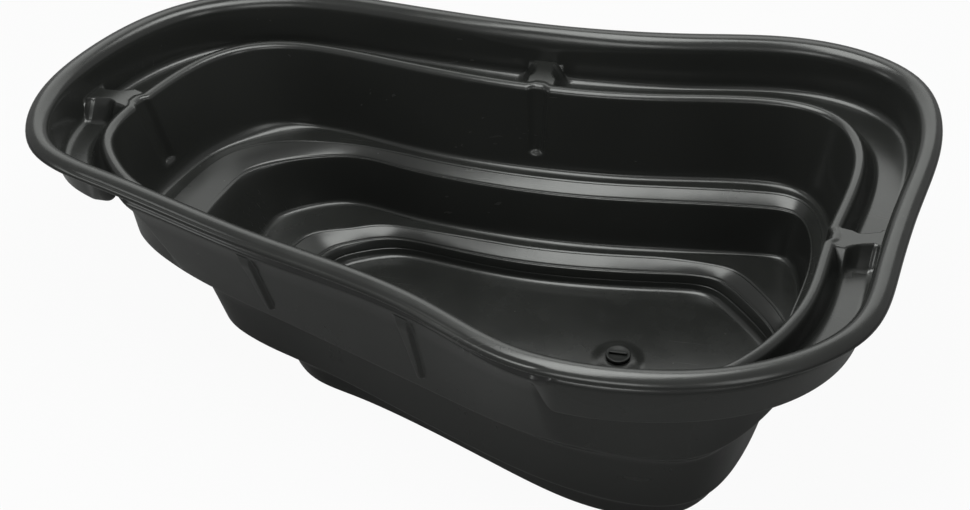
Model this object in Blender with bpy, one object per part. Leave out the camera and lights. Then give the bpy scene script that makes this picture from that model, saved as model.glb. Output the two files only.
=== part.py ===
"""Livestock water trough: a one-piece moulded basin with a marsh channel, and a screw-in drain plug.

Lengths are in millimetres until a mesh is made, which is in metres. X runs along the basin, Y to its
back and Z up, with the origin on the floor under the middle of the rim.
"""
from collections import namedtuple
import math

import bmesh
import bpy
import numpy as np

MM = 0.001

# Size over the rim, seen from above
LENGTH = 1623.0
BREADTH = 1000.0

# Drops from level to level, from the top of the rim down to the floor of the basin
RIDGE_DROP = 60.0
CHANNEL_DROP = 42.0
WALL_1_DROP = 180.0
BANK_1_DROP = 15.0
WALL_2_DROP = 105.0
BANK_2_DROP = 10.0
WALL_3_DROP = 38.0
WALL = 6.0

# Rim bead: a short lip at its outer edge, a slope up to the crest and a round down into the channel
BEAD_WIDTH = 38.0
BEAD_CREST = 15.0
BEAD_ROUND = 20.0
LIP_DROP = 13.5
LIP_HEIGHT = 7.5

# Marsh channel and the ridge between it and the basin
CHANNEL_FOOT_ROUND = 14.0
OUTER_FOOT_ROUND = 5.0
RIDGE_WIDTH = 20.0
RIDGE_ROUND = 6.0
RIDGE_OUTER_RUN = 22.0
RIDGE_FOOT_ROUND = 10.0
CHANNEL_END_RUN = 50.0

# Shoulder on the outer side of the channel, which swells from the narrow end to the broad end
RECESS_PART = 0.2
SHOULDER_PART = 0.34
SHOULDER_ROUND = 9.0
SHOULDER_BULGE = 13.0
BULGE_START = -500.0
BULGE_RUN = 600.0

# Wall under the rim where the channel is left out, with a ledge on its outer side
COLLAR_RUN = 13.0
COLLAR_DROP = 62.0
COLLAR_RECESS_PART = 0.84
COLLAR_PITCH = 0.04
FLUTE_TOP = 0.08
LEDGE_PART = 0.93
LEDGE_RUN = 5.0

# Rounds of the shelves and the floor, and the flat part of each shelf
SHELF_ROUND = 10.0
EDGE_ROUND = 9.0
FLOOR_ROUND = 10.0
SHELF_FLAT = 0.44
WALL_3_RUN = 0.12
FLOOR_MARGIN = 18.0

# Flutes in the basin wall and the bridges that cross the channel behind three of them
FLUTE_WIDTH = 46.0
FLUTE_END_WIDTH = 36.0
FLUTE_DEPTH = 8.0
FLUTE_SIDE = 5.0
FLUTE_END_RISE = 34.0
FLUTE_SCOOP = 16.0
BRIDGE_NECK = 28.0
BRIDGE_HEAD = 56.0
BRIDGE_HEAD_DEPTH = 9.0
BRIDGE_SIDE_RUN = 5.0
BRIDGE_SIDE_DROP = 18.0
BRIDGE_RAMP = 13.0
BRIDGE_SINK = 2.0

# Drain in the floor
DRAIN_X = 280.0
DRAIN_Y = -16.0
BOSS_RADIUS = 36.0
BOSS_RISE = 8.0
BOSS_SLOPE = 7.0
BOSS_BORDER = 12.0
BOSS_WALL = 4.0
DRAIN_RADIUS = 15.0
PLUG_HEAD_RADIUS = 23.0
PLUG_HEAD_HEIGHT = 5.0
PLUG_SHANK_DROP = 11.0
PLUG_CLEARANCE = 0.5
PLUG_EDGE = 1.5
GRIP_WIDTH = 7.0
GRIP_LENGTH = 34.0
GRIP_HEIGHT = 5.0
GRIP_OVERLAP = 1.0
SEAL_RADIUS = 21.0
SEAL_THICKNESS = 3.0
SEAT_GAP = 0.3

# Outlines seen from above, one point for each of nineteen stations, anticlockwise from the right end; they
# are drawn at the size given above and scaled with it
RIM = [(765, 0), (808, 262), (770, 414), (596, 508), (340, 492), (70, 476), (-200, 496), (-436, 504),
       (-637, 426), (-779, 230), (-815, 75), (-769, -69), (-623, -149), (-333, -264), (-23, -380),
       (128, -461), (295, -487), (560, -423), (699, -300)]
CHANNEL = [(720, 8), (762, 262), (734, 385), (587, 463), (341, 446), (70, 430), (-198, 450), (-430, 458),
           (-608, 390), (-736, 208), (-763, 76), (-724, -29), (-599, -94), (-314, -218), (-2, -336),
           (139, -430), (293, -461), (547, -394), (662, -282)]
RIDGE = [(628, 0), (668, 225), (640, 324), (532, 378), (300, 356), (70, 346), (-190, 377), (-425, 404),
         (-560, 340), (-645, 195), (-679, 75), (-640, -15), (-570, -80), (-302, -190), (8, -322),
         (166, -392), (308, -408), (487, -356), (578, -225)]
SHELF_1 = [(611, -4), (640, 205), (608, 306), (515, 354), (295, 332), (70, 322), (-180, 347), (-380, 382),
           (-503, 326), (-590, 210), (-630, 70), (-598, -5), (-515, -64), (-274, -187), (36, -317),
           (172, -376), (312, -396), (476, -342), (560, -215)]
EDGE_1 = [(575, -4), (603, 180), (585, 268), (512, 296), (292, 277), (70, 268), (-165, 294), (-310, 314),
          (-447, 258), (-500, 170), (-522, 70), (-498, -25), (-412, -100), (-240, -175), (44, -300),
          (185, -361), (314, -389), (470, -340), (539, -216)]
SHELF_2 = [(566, -4), (595, 172), (577, 260), (510, 287), (290, 265), (70, 257), (-160, 282), (-300, 306),
           (-398, 262), (-441, 185), (-456, 75), (-450, -36), (-385, -108), (-228, -170), (50, -296),
           (188, -357), (315, -385), (467, -337), (533, -214)]
FLOOR = [(541, 0), (537, 84), (470, 164), (408, 209), (288, 202), (70, 192), (-110, 214), (-195, 214),
         (-258, 187), (-302, 135), (-325, 50), (-322, -45), (-284, -126), (-166, -181), (61, -280),
         (203, -347), (318, -370), (453, -323), (512, -207)]

# Stations of the features: flutes behind bridges, flutes alone, and the two ends of the channel
BRIDGE_STATIONS = (0.0, 5.0, 9.2)
FLUTE_STATIONS = (12.88, 13.83)
CHANNEL_ENDS = (11.65, 15.38)

# Fineness of the mesh
COLUMN_PITCH = 160.0
COLUMN_TURN = 16.5
FEATURE_MARGIN = 25.0
END_COLUMNS = (-0.5, -0.25, 0.0, 0.25, 0.5)
DRAIN_SEGMENTS = 40
SAMPLES = 3800
EDGE_MINIMUM = 1.0

# Largest share of a side that a round may take, beside a sharp corner and beside another round
SHARP_SHARE = 0.9
ROUND_SHARE = 0.45

# Corners that form the channel, and the rows of them that the bridges' heads and necks lift
CHANNEL_CORNERS = ("foot", "head_edge", "neck_edge", "inner_foot", "ridge_out", "ridge_in")
HEAD_CORNERS = ("foot", "head_edge")
NECK_CORNERS = ("neck_edge", "inner_foot")
PLAIN_BELOW = ("lip_top", "break_1", "break_2")
HEAD_SHARE = 0.4
NECK_SHARE = 0.6

# Colours and roughness of the materials
BLACK_POLYETHYLENE = (0.012, 0.013, 0.012, 1.0)
BASIN_ROUGHNESS = 0.3
PLUG_GREY = (0.03, 0.032, 0.03, 1.0)
PLUG_ROUGHNESS = 0.4
SEAL_BLACK = (0.008, 0.008, 0.008, 1.0)
SEAL_ROUGHNESS = 0.6


Corner = namedtuple("Corner", "name points radius steps")


def clear_scene():
    for thing in list(bpy.data.objects):
        bpy.data.objects.remove(thing, do_unlink=True)


def make_material(name, colour, roughness):
    material = bpy.data.materials.new(name)
    material.use_nodes = True
    shader = material.node_tree.nodes["Principled BSDF"]
    shader.inputs["Base Color"].default_value = colour
    shader.inputs["Roughness"].default_value = roughness
    shader.inputs["Metallic"].default_value = 0.0
    return material


def smooth_step(value):
    value = np.clip(value, 0.0, 1.0)
    return value * value * (3.0 - 2.0 * value)


# Levels above the floor that the trough stands on


def levels():
    floor = WALL
    shelf_2_edge = floor + WALL_3_DROP
    shelf_2 = shelf_2_edge + BANK_2_DROP
    shelf_1_edge = shelf_2 + WALL_2_DROP
    shelf_1 = shelf_1_edge + BANK_1_DROP
    ridge = shelf_1 + WALL_1_DROP
    return {"floor": floor, "shelf_2_edge": shelf_2_edge, "shelf_2": shelf_2, "shelf_1_edge": shelf_1_edge,
            "shelf_1": shelf_1, "ridge": ridge, "channel": ridge - CHANNEL_DROP, "rim": ridge + RIDGE_DROP}


# Closed smooth outlines through their station points


def station_knots():
    points = np.array(RIM, float)
    chords = np.linalg.norm(np.roll(points, -1, axis=0) - points, axis=1)
    return np.concatenate([[0.0], np.cumsum(chords)])


def spline_bends(points, spans):
    """Second derivatives of the closed cubic spline through the points."""
    count = len(points)
    matrix = np.zeros((count, count))
    target = np.zeros((count, 2))
    for i in range(count):
        before = spans[i - 1]
        after = spans[i]
        matrix[i, i - 1] += before
        matrix[i, i] += 2.0 * (before + after)
        matrix[i, (i + 1) % count] += after
        slope_after = (points[(i + 1) % count] - points[i]) / after
        slope_before = (points[i] - points[i - 1]) / before
        target[i] = 6.0 * (slope_after - slope_before)
    return np.linalg.solve(matrix, target)


def drawn_outline(control, where):
    """Points of a closed outline as drawn, at the given places along the station knots."""
    points = np.array(control, float)
    knots = station_knots()
    spans = np.diff(knots)
    bends = spline_bends(points, spans)
    where = np.mod(where, knots[-1])
    first = np.clip(np.searchsorted(knots, where, side="right") - 1, 0, len(points) - 1)
    second = (first + 1) % len(points)
    span = spans[first][:, None]
    right = (where - knots[first])[:, None] / span
    left = 1.0 - right
    curve = ((left ** 3 - left) * bends[first] + (right ** 3 - right) * bends[second]) * span ** 2 / 6.0
    return left * points[first] + right * points[second] + curve


def fine_places():
    return np.linspace(0.0, station_knots()[-1], SAMPLES, endpoint=False)


def outline(control, where):
    """Points of a closed outline, scaled so that the rim has its length and breadth."""
    rim = drawn_outline(RIM, fine_places())
    scale = np.array([LENGTH, BREADTH]) / (rim.max(axis=0) - rim.min(axis=0))
    return drawn_outline(control, where) * scale


def inward_normals(points):
    along = np.roll(points, -1, axis=0) - np.roll(points, 1, axis=0)
    along /= np.linalg.norm(along, axis=1)[:, None]
    return np.stack([-along[:, 1], along[:, 0]], axis=1)


def station_place(station):
    knots = station_knots()
    return float(np.interp(station, np.arange(len(knots)), knots))


class Ring:
    """Distance along the ridge line, which places the columns and the features."""

    def __init__(self):
        total = station_knots()[-1]
        self.where = np.linspace(0.0, total, SAMPLES + 1)
        points = outline(RIDGE, self.where)
        steps = np.linalg.norm(np.diff(points, axis=0), axis=1)
        self.length_at = np.concatenate([[0.0], np.cumsum(steps)])
        self.length = self.length_at[-1]
        rim_steps = np.diff(outline(RIM, self.where), axis=0)
        heading = np.unwrap(np.arctan2(rim_steps[:, 1], rim_steps[:, 0]))
        turn = np.degrees(np.abs(np.diff(heading, append=heading[0] + 2.0 * math.pi)))
        self.share_at = np.concatenate([[0.0], np.cumsum(steps / COLUMN_PITCH + turn / COLUMN_TURN)])

    def distance(self, station):
        return float(np.interp(station_place(station), self.where, self.length_at))

    def place(self, distance):
        return np.interp(np.mod(distance, self.length), self.length_at, self.where)

    def offset(self, distance, station):
        """Signed distance from a station, the short way round."""
        half = self.length / 2.0
        return np.mod(distance - self.distance(station) + half, self.length) - half


def feature_offsets(bridge):
    half = FLUTE_WIDTH / 2.0
    marks = [0.0, half - FLUTE_SIDE, half, half + FEATURE_MARGIN]
    if bridge:
        neck = BRIDGE_NECK / 2.0
        head = BRIDGE_HEAD / 2.0
        marks = [0.0, neck, neck + BRIDGE_SIDE_RUN, half, head, head + BRIDGE_SIDE_RUN, head + FEATURE_MARGIN]
    return sorted({sign * mark for mark in marks for sign in (-1.0, 1.0)})


def column_distances(ring):
    """Columns evenly round the ring, with their own columns at flutes, bridges and channel ends."""
    fixed = []
    for station in BRIDGE_STATIONS + FLUTE_STATIONS:
        centre = ring.distance(station)
        fixed += [(centre + mark) % ring.length for mark in feature_offsets(station in BRIDGE_STATIONS)]
    for station in CHANNEL_ENDS:
        centre = ring.distance(station)
        fixed += [(centre + part * CHANNEL_END_RUN) % ring.length for part in END_COLUMNS]
    fixed = sorted(fixed)
    shares = np.interp(fixed, ring.length_at, ring.share_at)
    columns = []
    for share, following in zip(shares, list(shares[1:]) + [shares[0] + ring.share_at[-1]]):
        gaps = max(1, round(following - share))
        columns += [share + (following - share) * i / gaps for i in range(gaps)]
    return np.interp(np.mod(columns, ring.share_at[-1]), ring.share_at, ring.length_at)


# Section of the moulding, from the edge of the lip to the floor


def near_end(ring, distance, end):
    """True on the half of the closed front that lies beside this end of the channel, and as far beyond it."""
    middle = ring.distance(sum(CHANNEL_ENDS) / 2.0)
    return np.abs(distance - ring.distance(end)) < abs(middle - ring.distance(end))


def channel_share(ring, distance):
    """One along the marsh channel and nought along the front, where it is left out."""
    left, front = CHANNEL_ENDS
    open_left = smooth_step(0.5 - ring.offset(distance, left) / CHANNEL_END_RUN)
    open_front = smooth_step(0.5 + ring.offset(distance, front) / CHANNEL_END_RUN)
    elsewhere = np.where(near_end(ring, distance, front), open_front, 1.0)
    return np.where(near_end(ring, distance, left), open_left, elsewhere)


def flute_share(ring, distance, width):
    share = np.zeros_like(distance)
    for station in BRIDGE_STATIONS + FLUTE_STATIONS:
        inside = width / 2.0 - np.abs(ring.offset(distance, station))
        share = np.maximum(share, smooth_step(inside / FLUTE_SIDE))
    return share


def bridge_rise(ring, distance, head, wall):
    """Height of the bridges above the channel floor, in the neck or in the head beside the outer wall."""
    top = CHANNEL_DROP - BRIDGE_SINK
    rise = np.zeros_like(distance)
    for station in BRIDGE_STATIONS:
        away = np.abs(ring.offset(distance, station))
        if head:
            inside = BRIDGE_HEAD / 2.0 + BRIDGE_SIDE_RUN - wall - away
            height = top * np.clip(inside / BRIDGE_SIDE_RUN, 0.0, 1.0)
        else:
            past_neck = away + wall - BRIDGE_NECK / 2.0
            past_side = past_neck - BRIDGE_SIDE_RUN
            drop = BRIDGE_SIDE_DROP * np.clip(past_neck / BRIDGE_SIDE_RUN, 0.0, 1.0)
            ramp = (top - BRIDGE_SIDE_DROP) * np.clip(past_side / BRIDGE_RAMP, 0.0, 1.0)
            height = top - drop - ramp
        rise = np.maximum(rise, height)
    return rise


def with_height(points, height):
    return np.column_stack([points, np.broadcast_to(height, len(points))])


def normals_at(control, where):
    """Inward normals of an outline at the columns, read from a fine sampling of it."""
    fine = fine_places()
    normals = inward_normals(outline(control, fine))
    wrapped = np.append(fine, station_knots()[-1])
    columns = [np.interp(where, wrapped, np.append(normals[:, axis], normals[0, axis])) for axis in (0, 1)]
    return unit(np.stack(columns, axis=1))


def unit(vectors):
    return vectors / np.linalg.norm(vectors, axis=1)[:, None]


class Plan:
    """The outlines, directions and shares of the features at every column, seen from above."""

    def __init__(self, ring, distance):
        where = ring.place(distance)
        self.level = levels()
        self.rim = outline(RIM, where)
        self.channel = outline(CHANNEL, where)
        self.ridge = outline(RIDGE, where)
        self.shelf_1 = outline(SHELF_1, where)
        self.edge_1 = outline(EDGE_1, where)
        self.shelf_2 = outline(SHELF_2, where)
        self.floor = outline(FLOOR, where)
        self.inward = normals_at(RIM, where)
        self.outward = -normals_at(RIDGE, where)
        self.floor_in = normals_at(FLOOR, where)
        self.around = with_height(np.stack([self.inward[:, 1], -self.inward[:, 0]], axis=1), 0.0)
        self.share = channel_share(ring, distance)[:, None]
        self.swell = smooth_step((self.rim[:, :1] - BULGE_START) / BULGE_RUN)
        self.flute = flute_share(ring, distance, FLUTE_WIDTH)[:, None]
        self.push = with_height(self.outward * self.flute * FLUTE_DEPTH, 0.0)
        low_flute = flute_share(ring, distance, FLUTE_END_WIDTH)[:, None]
        self.low_push = with_height(self.outward * low_flute * FLUTE_DEPTH, 0.0)

    def blend(self, open_points, collar_points):
        """Points of the open channel, or of the wall that takes its place along the front."""
        return self.share * open_points + (1.0 - self.share) * collar_points

    def rim_point(self, run, drop):
        return with_height(self.rim + self.inward * run, self.level["rim"] - drop)

    def collar_points(self, base):
        """Points of the wall where there is no channel, from the foot of the collar past the flutes' tops."""
        foot = self.rim_point(BEAD_WIDTH + COLLAR_RUN, COLLAR_DROP)
        parts = [COLLAR_PITCH * i for i in range(len(CHANNEL_CORNERS))]
        return [foot + (base - foot) * part + self.push * min(1.0, part / FLUTE_TOP) for part in parts]


def channel_corners(plan):
    """Corners of the channel and the ridge, or of the wall in their place, from the outer wall inward."""
    channel = plan.level["channel"]
    ridge = plan.level["ridge"]
    half_ridge = RIDGE_WIDTH / 2.0
    foot = with_height(plan.channel, channel)
    inner_foot = with_height(plan.ridge + plan.outward * (half_ridge + RIDGE_OUTER_RUN), channel) + plan.push
    across = inner_foot - foot
    width = np.linalg.norm(across, axis=1)[:, None]
    head_run = np.minimum(BRIDGE_HEAD_DEPTH, HEAD_SHARE * width) / width
    neck_run = np.minimum(BRIDGE_HEAD_DEPTH + BRIDGE_SIDE_RUN, NECK_SHARE * width) / width
    ridge_out = with_height(plan.ridge + plan.outward * half_ridge, ridge) + plan.push
    ridge_in = with_height(plan.ridge - plan.outward * half_ridge, ridge) + plan.push
    points = [foot, foot + across * head_run, foot + across * neck_run, inner_foot, ridge_out, ridge_in]
    collar = plan.collar_points(with_height(plan.shelf_1, plan.level["shelf_1"]))
    rounds = [CHANNEL_FOOT_ROUND, 0.0, 0.0, RIDGE_FOOT_ROUND, RIDGE_ROUND, RIDGE_ROUND]
    return [Corner(name, plan.blend(points[i], collar[i]), rounds[i], 1 if rounds[i] else 0)
            for i, name in enumerate(CHANNEL_CORNERS)]


def section_corners(plan):
    """Corners of the upper side for every column, from the edge of the lip to the floor."""
    level = plan.level
    channel = channel_corners(plan)
    base_1 = with_height(plan.shelf_1, level["shelf_1"])
    wall_1 = channel[-1].points - base_1
    scoop_low = (FLUTE_END_RISE / wall_1[:, 2])[:, None]
    scoop_high = ((FLUTE_END_RISE + FLUTE_SCOOP) / wall_1[:, 2])[:, None]
    lip_1 = with_height(plan.edge_1, level["shelf_1_edge"])
    break_1 = base_1 + (with_height(plan.edge_1, level["shelf_1"]) - base_1) * SHELF_FLAT
    base_2 = with_height(plan.shelf_2, level["shelf_2"])
    edge_2 = plan.floor + (plan.shelf_2 - plan.floor) * WALL_3_RUN
    break_2 = base_2 + (with_height(edge_2, level["shelf_2"]) - base_2) * SHELF_FLAT
    return [
        Corner("lip", plan.rim_point(0.0, LIP_DROP), 0.0, 0),
        Corner("lip_top", plan.rim_point(0.0, LIP_DROP - LIP_HEIGHT), 0.0, 0),
        Corner("crest", plan.rim_point(BEAD_CREST, 0.0), 0.0, 0),
        Corner("bead", plan.rim_point(BEAD_WIDTH, 0.0), BEAD_ROUND, 2),
        *channel,
        Corner("wall_high", base_1 + (wall_1 - plan.push) * scoop_high + plan.low_push, 0.0, 0),
        Corner("wall_low", base_1 + (wall_1 - plan.push) * scoop_low, 0.0, 0),
        Corner("base_1", base_1, SHELF_ROUND, 1),
        Corner("break_1", break_1, 0.0, 0),
        Corner("lip_1", lip_1, EDGE_ROUND, 1),
        Corner("base_2", base_2, SHELF_ROUND, 1),
        Corner("break_2", break_2, 0.0, 0),
        Corner("lip_2", with_height(edge_2, level["shelf_2_edge"]), EDGE_ROUND, 1),
        Corner("floor", with_height(plan.floor, level["floor"]), FLOOR_ROUND, 1),
        Corner("margin", with_height(plan.floor + plan.floor_in * FLOOR_MARGIN, level["floor"]), 0.0, 0),
    ]


def mitred_corners(corners, around):
    """The same corners on the far side of the wall, each mitred between the faces that meet there."""
    points = [corner.points for corner in corners]
    runs = [unit(second - first) for first, second in zip(points, points[1:])]
    faces = [unit(np.cross(around, run)) for run in runs]
    result = []
    for i, corner in enumerate(corners):
        before = faces[max(i - 1, 0)]
        after = faces[min(i, len(faces) - 1)]
        total = before + after
        bend = np.linalg.norm(after - before, axis=1) / np.linalg.norm(total, axis=1)
        hollow = np.sign(np.sum(runs[min(i, len(runs) - 1)] * before, axis=1))
        mitre = total / (1.0 + np.sum(before * after, axis=1))[:, None]
        cut = np.maximum(corner.radius + WALL * bend * hollow, EDGE_MINIMUM)[:, None]
        result.append(corner._replace(points=corner.points - mitre * WALL, radius=cut))
    return result


def underside_corners(corners, plan):
    """Corners of the underside: the mitred ones, with a shoulder and a ledge under the rim."""
    mitred = mitred_corners(corners, plan.around)
    place = {corner.name: corner.points for corner in mitred}
    inward = with_height(plan.inward, 0.0)
    face = place["foot"] - place["bead"]
    bulge = plan.blend(plan.swell * SHOULDER_BULGE, LEDGE_RUN)
    recess = place["bead"] + face * plan.blend(RECESS_PART, COLLAR_RECESS_PART)
    shoulder = place["bead"] + face * plan.blend(SHOULDER_PART, LEDGE_PART) - inward * bulge
    result = []
    for corner in mitred:
        if corner.name in CHANNEL_CORNERS:
            fade = 1.0 - CHANNEL_CORNERS.index(corner.name) / len(CHANNEL_CORNERS)
            ledge = inward * (1.0 - plan.share) * LEDGE_RUN * fade
            corner = corner._replace(points=corner.points - ledge)
        if corner.name == "foot":
            corner = corner._replace(radius=OUTER_FOOT_ROUND)
        if corner.name not in PLAIN_BELOW:
            result.append(corner)
        if corner.name == "bead":
            result.append(Corner("recess", recess, 0.0, 0))
            result.append(Corner("shoulder", shoulder, SHOULDER_ROUND, 1))
    return result


def rounded_rows(corners):
    """Rows of points along the section, with each corner rounded by a quadratic curve, and their names."""
    rows = []
    names = []
    for i, corner in enumerate(corners):
        if corner.steps == 0:
            rows.append(corner.points.copy())
            names.append(corner.name)
            continue
        ends = []
        for other in (corners[i - 1], corners[i + 1]):
            side = other.points - corner.points
            length = np.linalg.norm(side, axis=1)[:, None]
            share = SHARP_SHARE if other.steps == 0 else ROUND_SHARE
            ends.append(corner.points + side / length * np.minimum(corner.radius, share * length))
        for step in range(corner.steps + 1):
            part = step / corner.steps
            middle = 2 * part * (1 - part) * corner.points
            rows.append((1 - part) ** 2 * ends[0] + middle + part ** 2 * ends[1])
            names.append(corner.name)
    return rows, names


def raise_bridges(ring, distance, rows, names, wall):
    """Lift the channel floor to the bridges' height, wide at the outer wall and narrow at the neck."""
    floor = levels()["channel"] - wall
    channel = channel_share(ring, distance)
    neck = bridge_rise(ring, distance, False, wall)
    head = np.maximum(neck, bridge_rise(ring, distance, True, wall))
    for row, name in zip(rows, names):
        if name in HEAD_CORNERS + NECK_CORNERS:
            rise = head if name in HEAD_CORNERS else neck
            raised = (rise > 0.0) & (channel > 0.5)
            row[:, 2] = np.where(raised, np.maximum(row[:, 2], floor + rise), row[:, 2])


def shell_rows():
    """Rows of the upper side and of the underside, both from the edge of the lip to the floor."""
    ring = Ring()
    distance = column_distances(ring)
    plan = Plan(ring, distance)
    corners = section_corners(plan)
    upper, names = rounded_rows(corners)
    raise_bridges(ring, distance, upper, names, 0.0)
    lower, names = rounded_rows(underside_corners(corners, plan))
    raise_bridges(ring, distance, lower, names, WALL)
    middle = (upper[0].min(axis=0) + upper[0].max(axis=0)) / 2.0
    middle[2] = 0.0
    return [row - middle for row in upper], [row - middle for row in lower]


def drain_rows():
    """Rings of the drain boss: from its foot up to the hole, through it, and back below."""
    floor = levels()["floor"]
    turns = 2.0 * math.pi * np.arange(DRAIN_SEGMENTS) / DRAIN_SEGMENTS
    circle = np.stack([np.cos(turns), np.sin(turns)], axis=1)
    centre = np.array([DRAIN_X, DRAIN_Y])
    border = BOSS_RADIUS + BOSS_BORDER
    top = BOSS_RADIUS - BOSS_SLOPE
    seat = floor + BOSS_RISE
    above = [(border, floor), (BOSS_RADIUS, floor), (top, seat), (DRAIN_RADIUS, seat)]
    hollow = BOSS_RADIUS - BOSS_WALL
    below = [(DRAIN_RADIUS, BOSS_RISE), (top - BOSS_WALL, BOSS_RISE), (hollow, 0.0), (border, 0.0)]
    return [with_height(centre + circle * radius, height) for radius, height in above + below]


def add_band(model, rows):
    """Join rings of points with four-sided faces and give back the rings' vertices."""
    grid = [[model.verts.new(tuple(point * MM)) for point in row] for row in rows]
    count = len(grid[0])
    for outer, inner in zip(grid, grid[1:]):
        for i in range(count):
            following = (i + 1) % count
            model.faces.new((outer[i], outer[following], inner[following], inner[i]))
    return grid


def ring_edges(model, ring):
    return [model.edges.get((first, second)) for first, second in zip(ring, ring[1:] + ring[:1])]


def make_shell_mesh():
    model = bmesh.new()
    upper, lower = shell_rows()
    basin = add_band(model, lower[::-1] + upper)
    drain = add_band(model, drain_rows())
    for ring, hole, facing in ((basin[-1], drain[0], 1.0), (basin[0], drain[-1], -1.0)):
        border = ring_edges(model, ring) + ring_edges(model, hole)
        bmesh.ops.triangle_fill(model, use_beauty=True, edges=border, normal=(0.0, 0.0, facing))
    bmesh.ops.recalc_face_normals(model, faces=model.faces)
    mesh = bpy.data.meshes.new("basin_shell")
    model.to_mesh(mesh)
    model.free()
    return mesh


def add_object(name, mesh, material=None):
    thing = bpy.data.objects.new(name, mesh)
    bpy.context.scene.collection.objects.link(thing)
    if material is not None:
        mesh.materials.append(material)
    return thing


# Round pieces


def turned_mesh(name, profile, segments=DRAIN_SEGMENTS):
    """A closed solid turned round Z from (radius, height) points; it may have a bore."""
    model = bmesh.new()
    rings = []
    for radius, height in profile:
        if radius == 0.0:
            rings.append([model.verts.new((0.0, 0.0, height * MM))])
            continue
        turns = [2.0 * math.pi * i / segments for i in range(segments)]
        rings.append([model.verts.new((radius * math.cos(a) * MM, radius * math.sin(a) * MM, height * MM))
                      for a in turns])
    pairs = list(zip(rings, rings[1:]))
    if profile[0][0] > 0.0:
        pairs.append((rings[-1], rings[0]))
    for first, second in pairs:
        for i in range(segments):
            following = (i + 1) % segments
            corners = [first[i % len(first)], first[following % len(first)],
                       second[following % len(second)], second[i % len(second)]]
            unique = list(dict.fromkeys(corners))
            model.faces.new(unique)
    bmesh.ops.recalc_face_normals(model, faces=model.faces)
    mesh = bpy.data.meshes.new(name)
    model.to_mesh(mesh)
    model.free()
    return mesh


def add_boolean(thing, cutter, operation):
    cutter.hide_render = True
    cutter.display_type = "WIRE"
    modifier = thing.modifiers.new(cutter.name, "BOOLEAN")
    modifier.operation = operation
    modifier.solver = "EXACT"
    modifier.object = cutter


def apply_modifiers(thing):
    """Keep the evaluated mesh and drop the tool objects, so that only pieces are left."""
    tools = [modifier.object for modifier in thing.modifiers if modifier.type == "BOOLEAN"]
    graph = bpy.context.evaluated_depsgraph_get()
    mesh = bpy.data.meshes.new_from_object(thing.evaluated_get(graph))
    thing.modifiers.clear()
    thing.data = mesh
    for tool in tools:
        bpy.data.objects.remove(tool, do_unlink=True)


def drain_axis():
    """The empty on the axis that the plug and its seal lift and turn on."""
    axis = bpy.data.objects.new("drain_axis", None)
    bpy.context.scene.collection.objects.link(axis)
    axis.location = (DRAIN_X * MM, DRAIN_Y * MM, (levels()["floor"] + BOSS_RISE) * MM)
    return axis


def add_seal(axis, material):
    bore = DRAIN_RADIUS + PLUG_CLEARANCE
    low = SEAT_GAP
    high = SEAT_GAP + SEAL_THICKNESS
    profile = [(bore, low), (SEAL_RADIUS, low), (SEAL_RADIUS, high), (bore, high)]
    seal = add_object("drain_seal", turned_mesh("drain_seal", profile), material)
    seal.parent = axis
    return seal


def add_plug(axis, material):
    under = SEAT_GAP + SEAL_THICKNESS + SEAT_GAP
    top = under + PLUG_HEAD_HEIGHT
    shank = DRAIN_RADIUS - PLUG_CLEARANCE
    tip = -PLUG_SHANK_DROP
    profile = [(0.0, tip), (shank - PLUG_EDGE, tip), (shank, tip + PLUG_EDGE), (shank, under),
               (PLUG_HEAD_RADIUS, under), (PLUG_HEAD_RADIUS, top - PLUG_EDGE),
               (PLUG_HEAD_RADIUS - PLUG_EDGE, top), (0.0, top)]
    plug = add_object("drain_plug", turned_mesh("drain_plug", profile), material)
    grip = bmesh.new()
    bmesh.ops.create_cube(grip, size=1.0)
    size = (GRIP_LENGTH * MM, GRIP_WIDTH * MM, (GRIP_HEIGHT + GRIP_OVERLAP) * MM)
    bmesh.ops.scale(grip, vec=size, verts=grip.verts)
    middle = (top + (GRIP_HEIGHT - GRIP_OVERLAP) / 2.0) * MM
    bmesh.ops.translate(grip, vec=(0.0, 0.0, middle), verts=grip.verts)
    mesh = bpy.data.meshes.new("grip")
    grip.to_mesh(mesh)
    grip.free()
    bar = add_object("grip", mesh)
    bar.parent = axis
    plug.parent = axis
    add_boolean(plug, bar, "UNION")
    bpy.context.view_layer.update()
    apply_modifiers(plug)
    return plug


def main():
    clear_scene()
    polyethylene = make_material("black_polyethylene", BLACK_POLYETHYLENE, BASIN_ROUGHNESS)
    add_object("basin_shell", make_shell_mesh(), polyethylene)
    axis = drain_axis()
    add_seal(axis, make_material("seal_rubber", SEAL_BLACK, SEAL_ROUGHNESS))
    add_plug(axis, make_material("plug_plastic", PLUG_GREY, PLUG_ROUGHNESS))


main()
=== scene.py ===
"""Livestock water trough: a moulded basin with a marsh channel, its drain plug and a studio stage.

Lengths are in metres. X runs along the basin, Y to its back and Z up, with the origin on the floor
under the middle of the rim.
"""
import math

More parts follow.
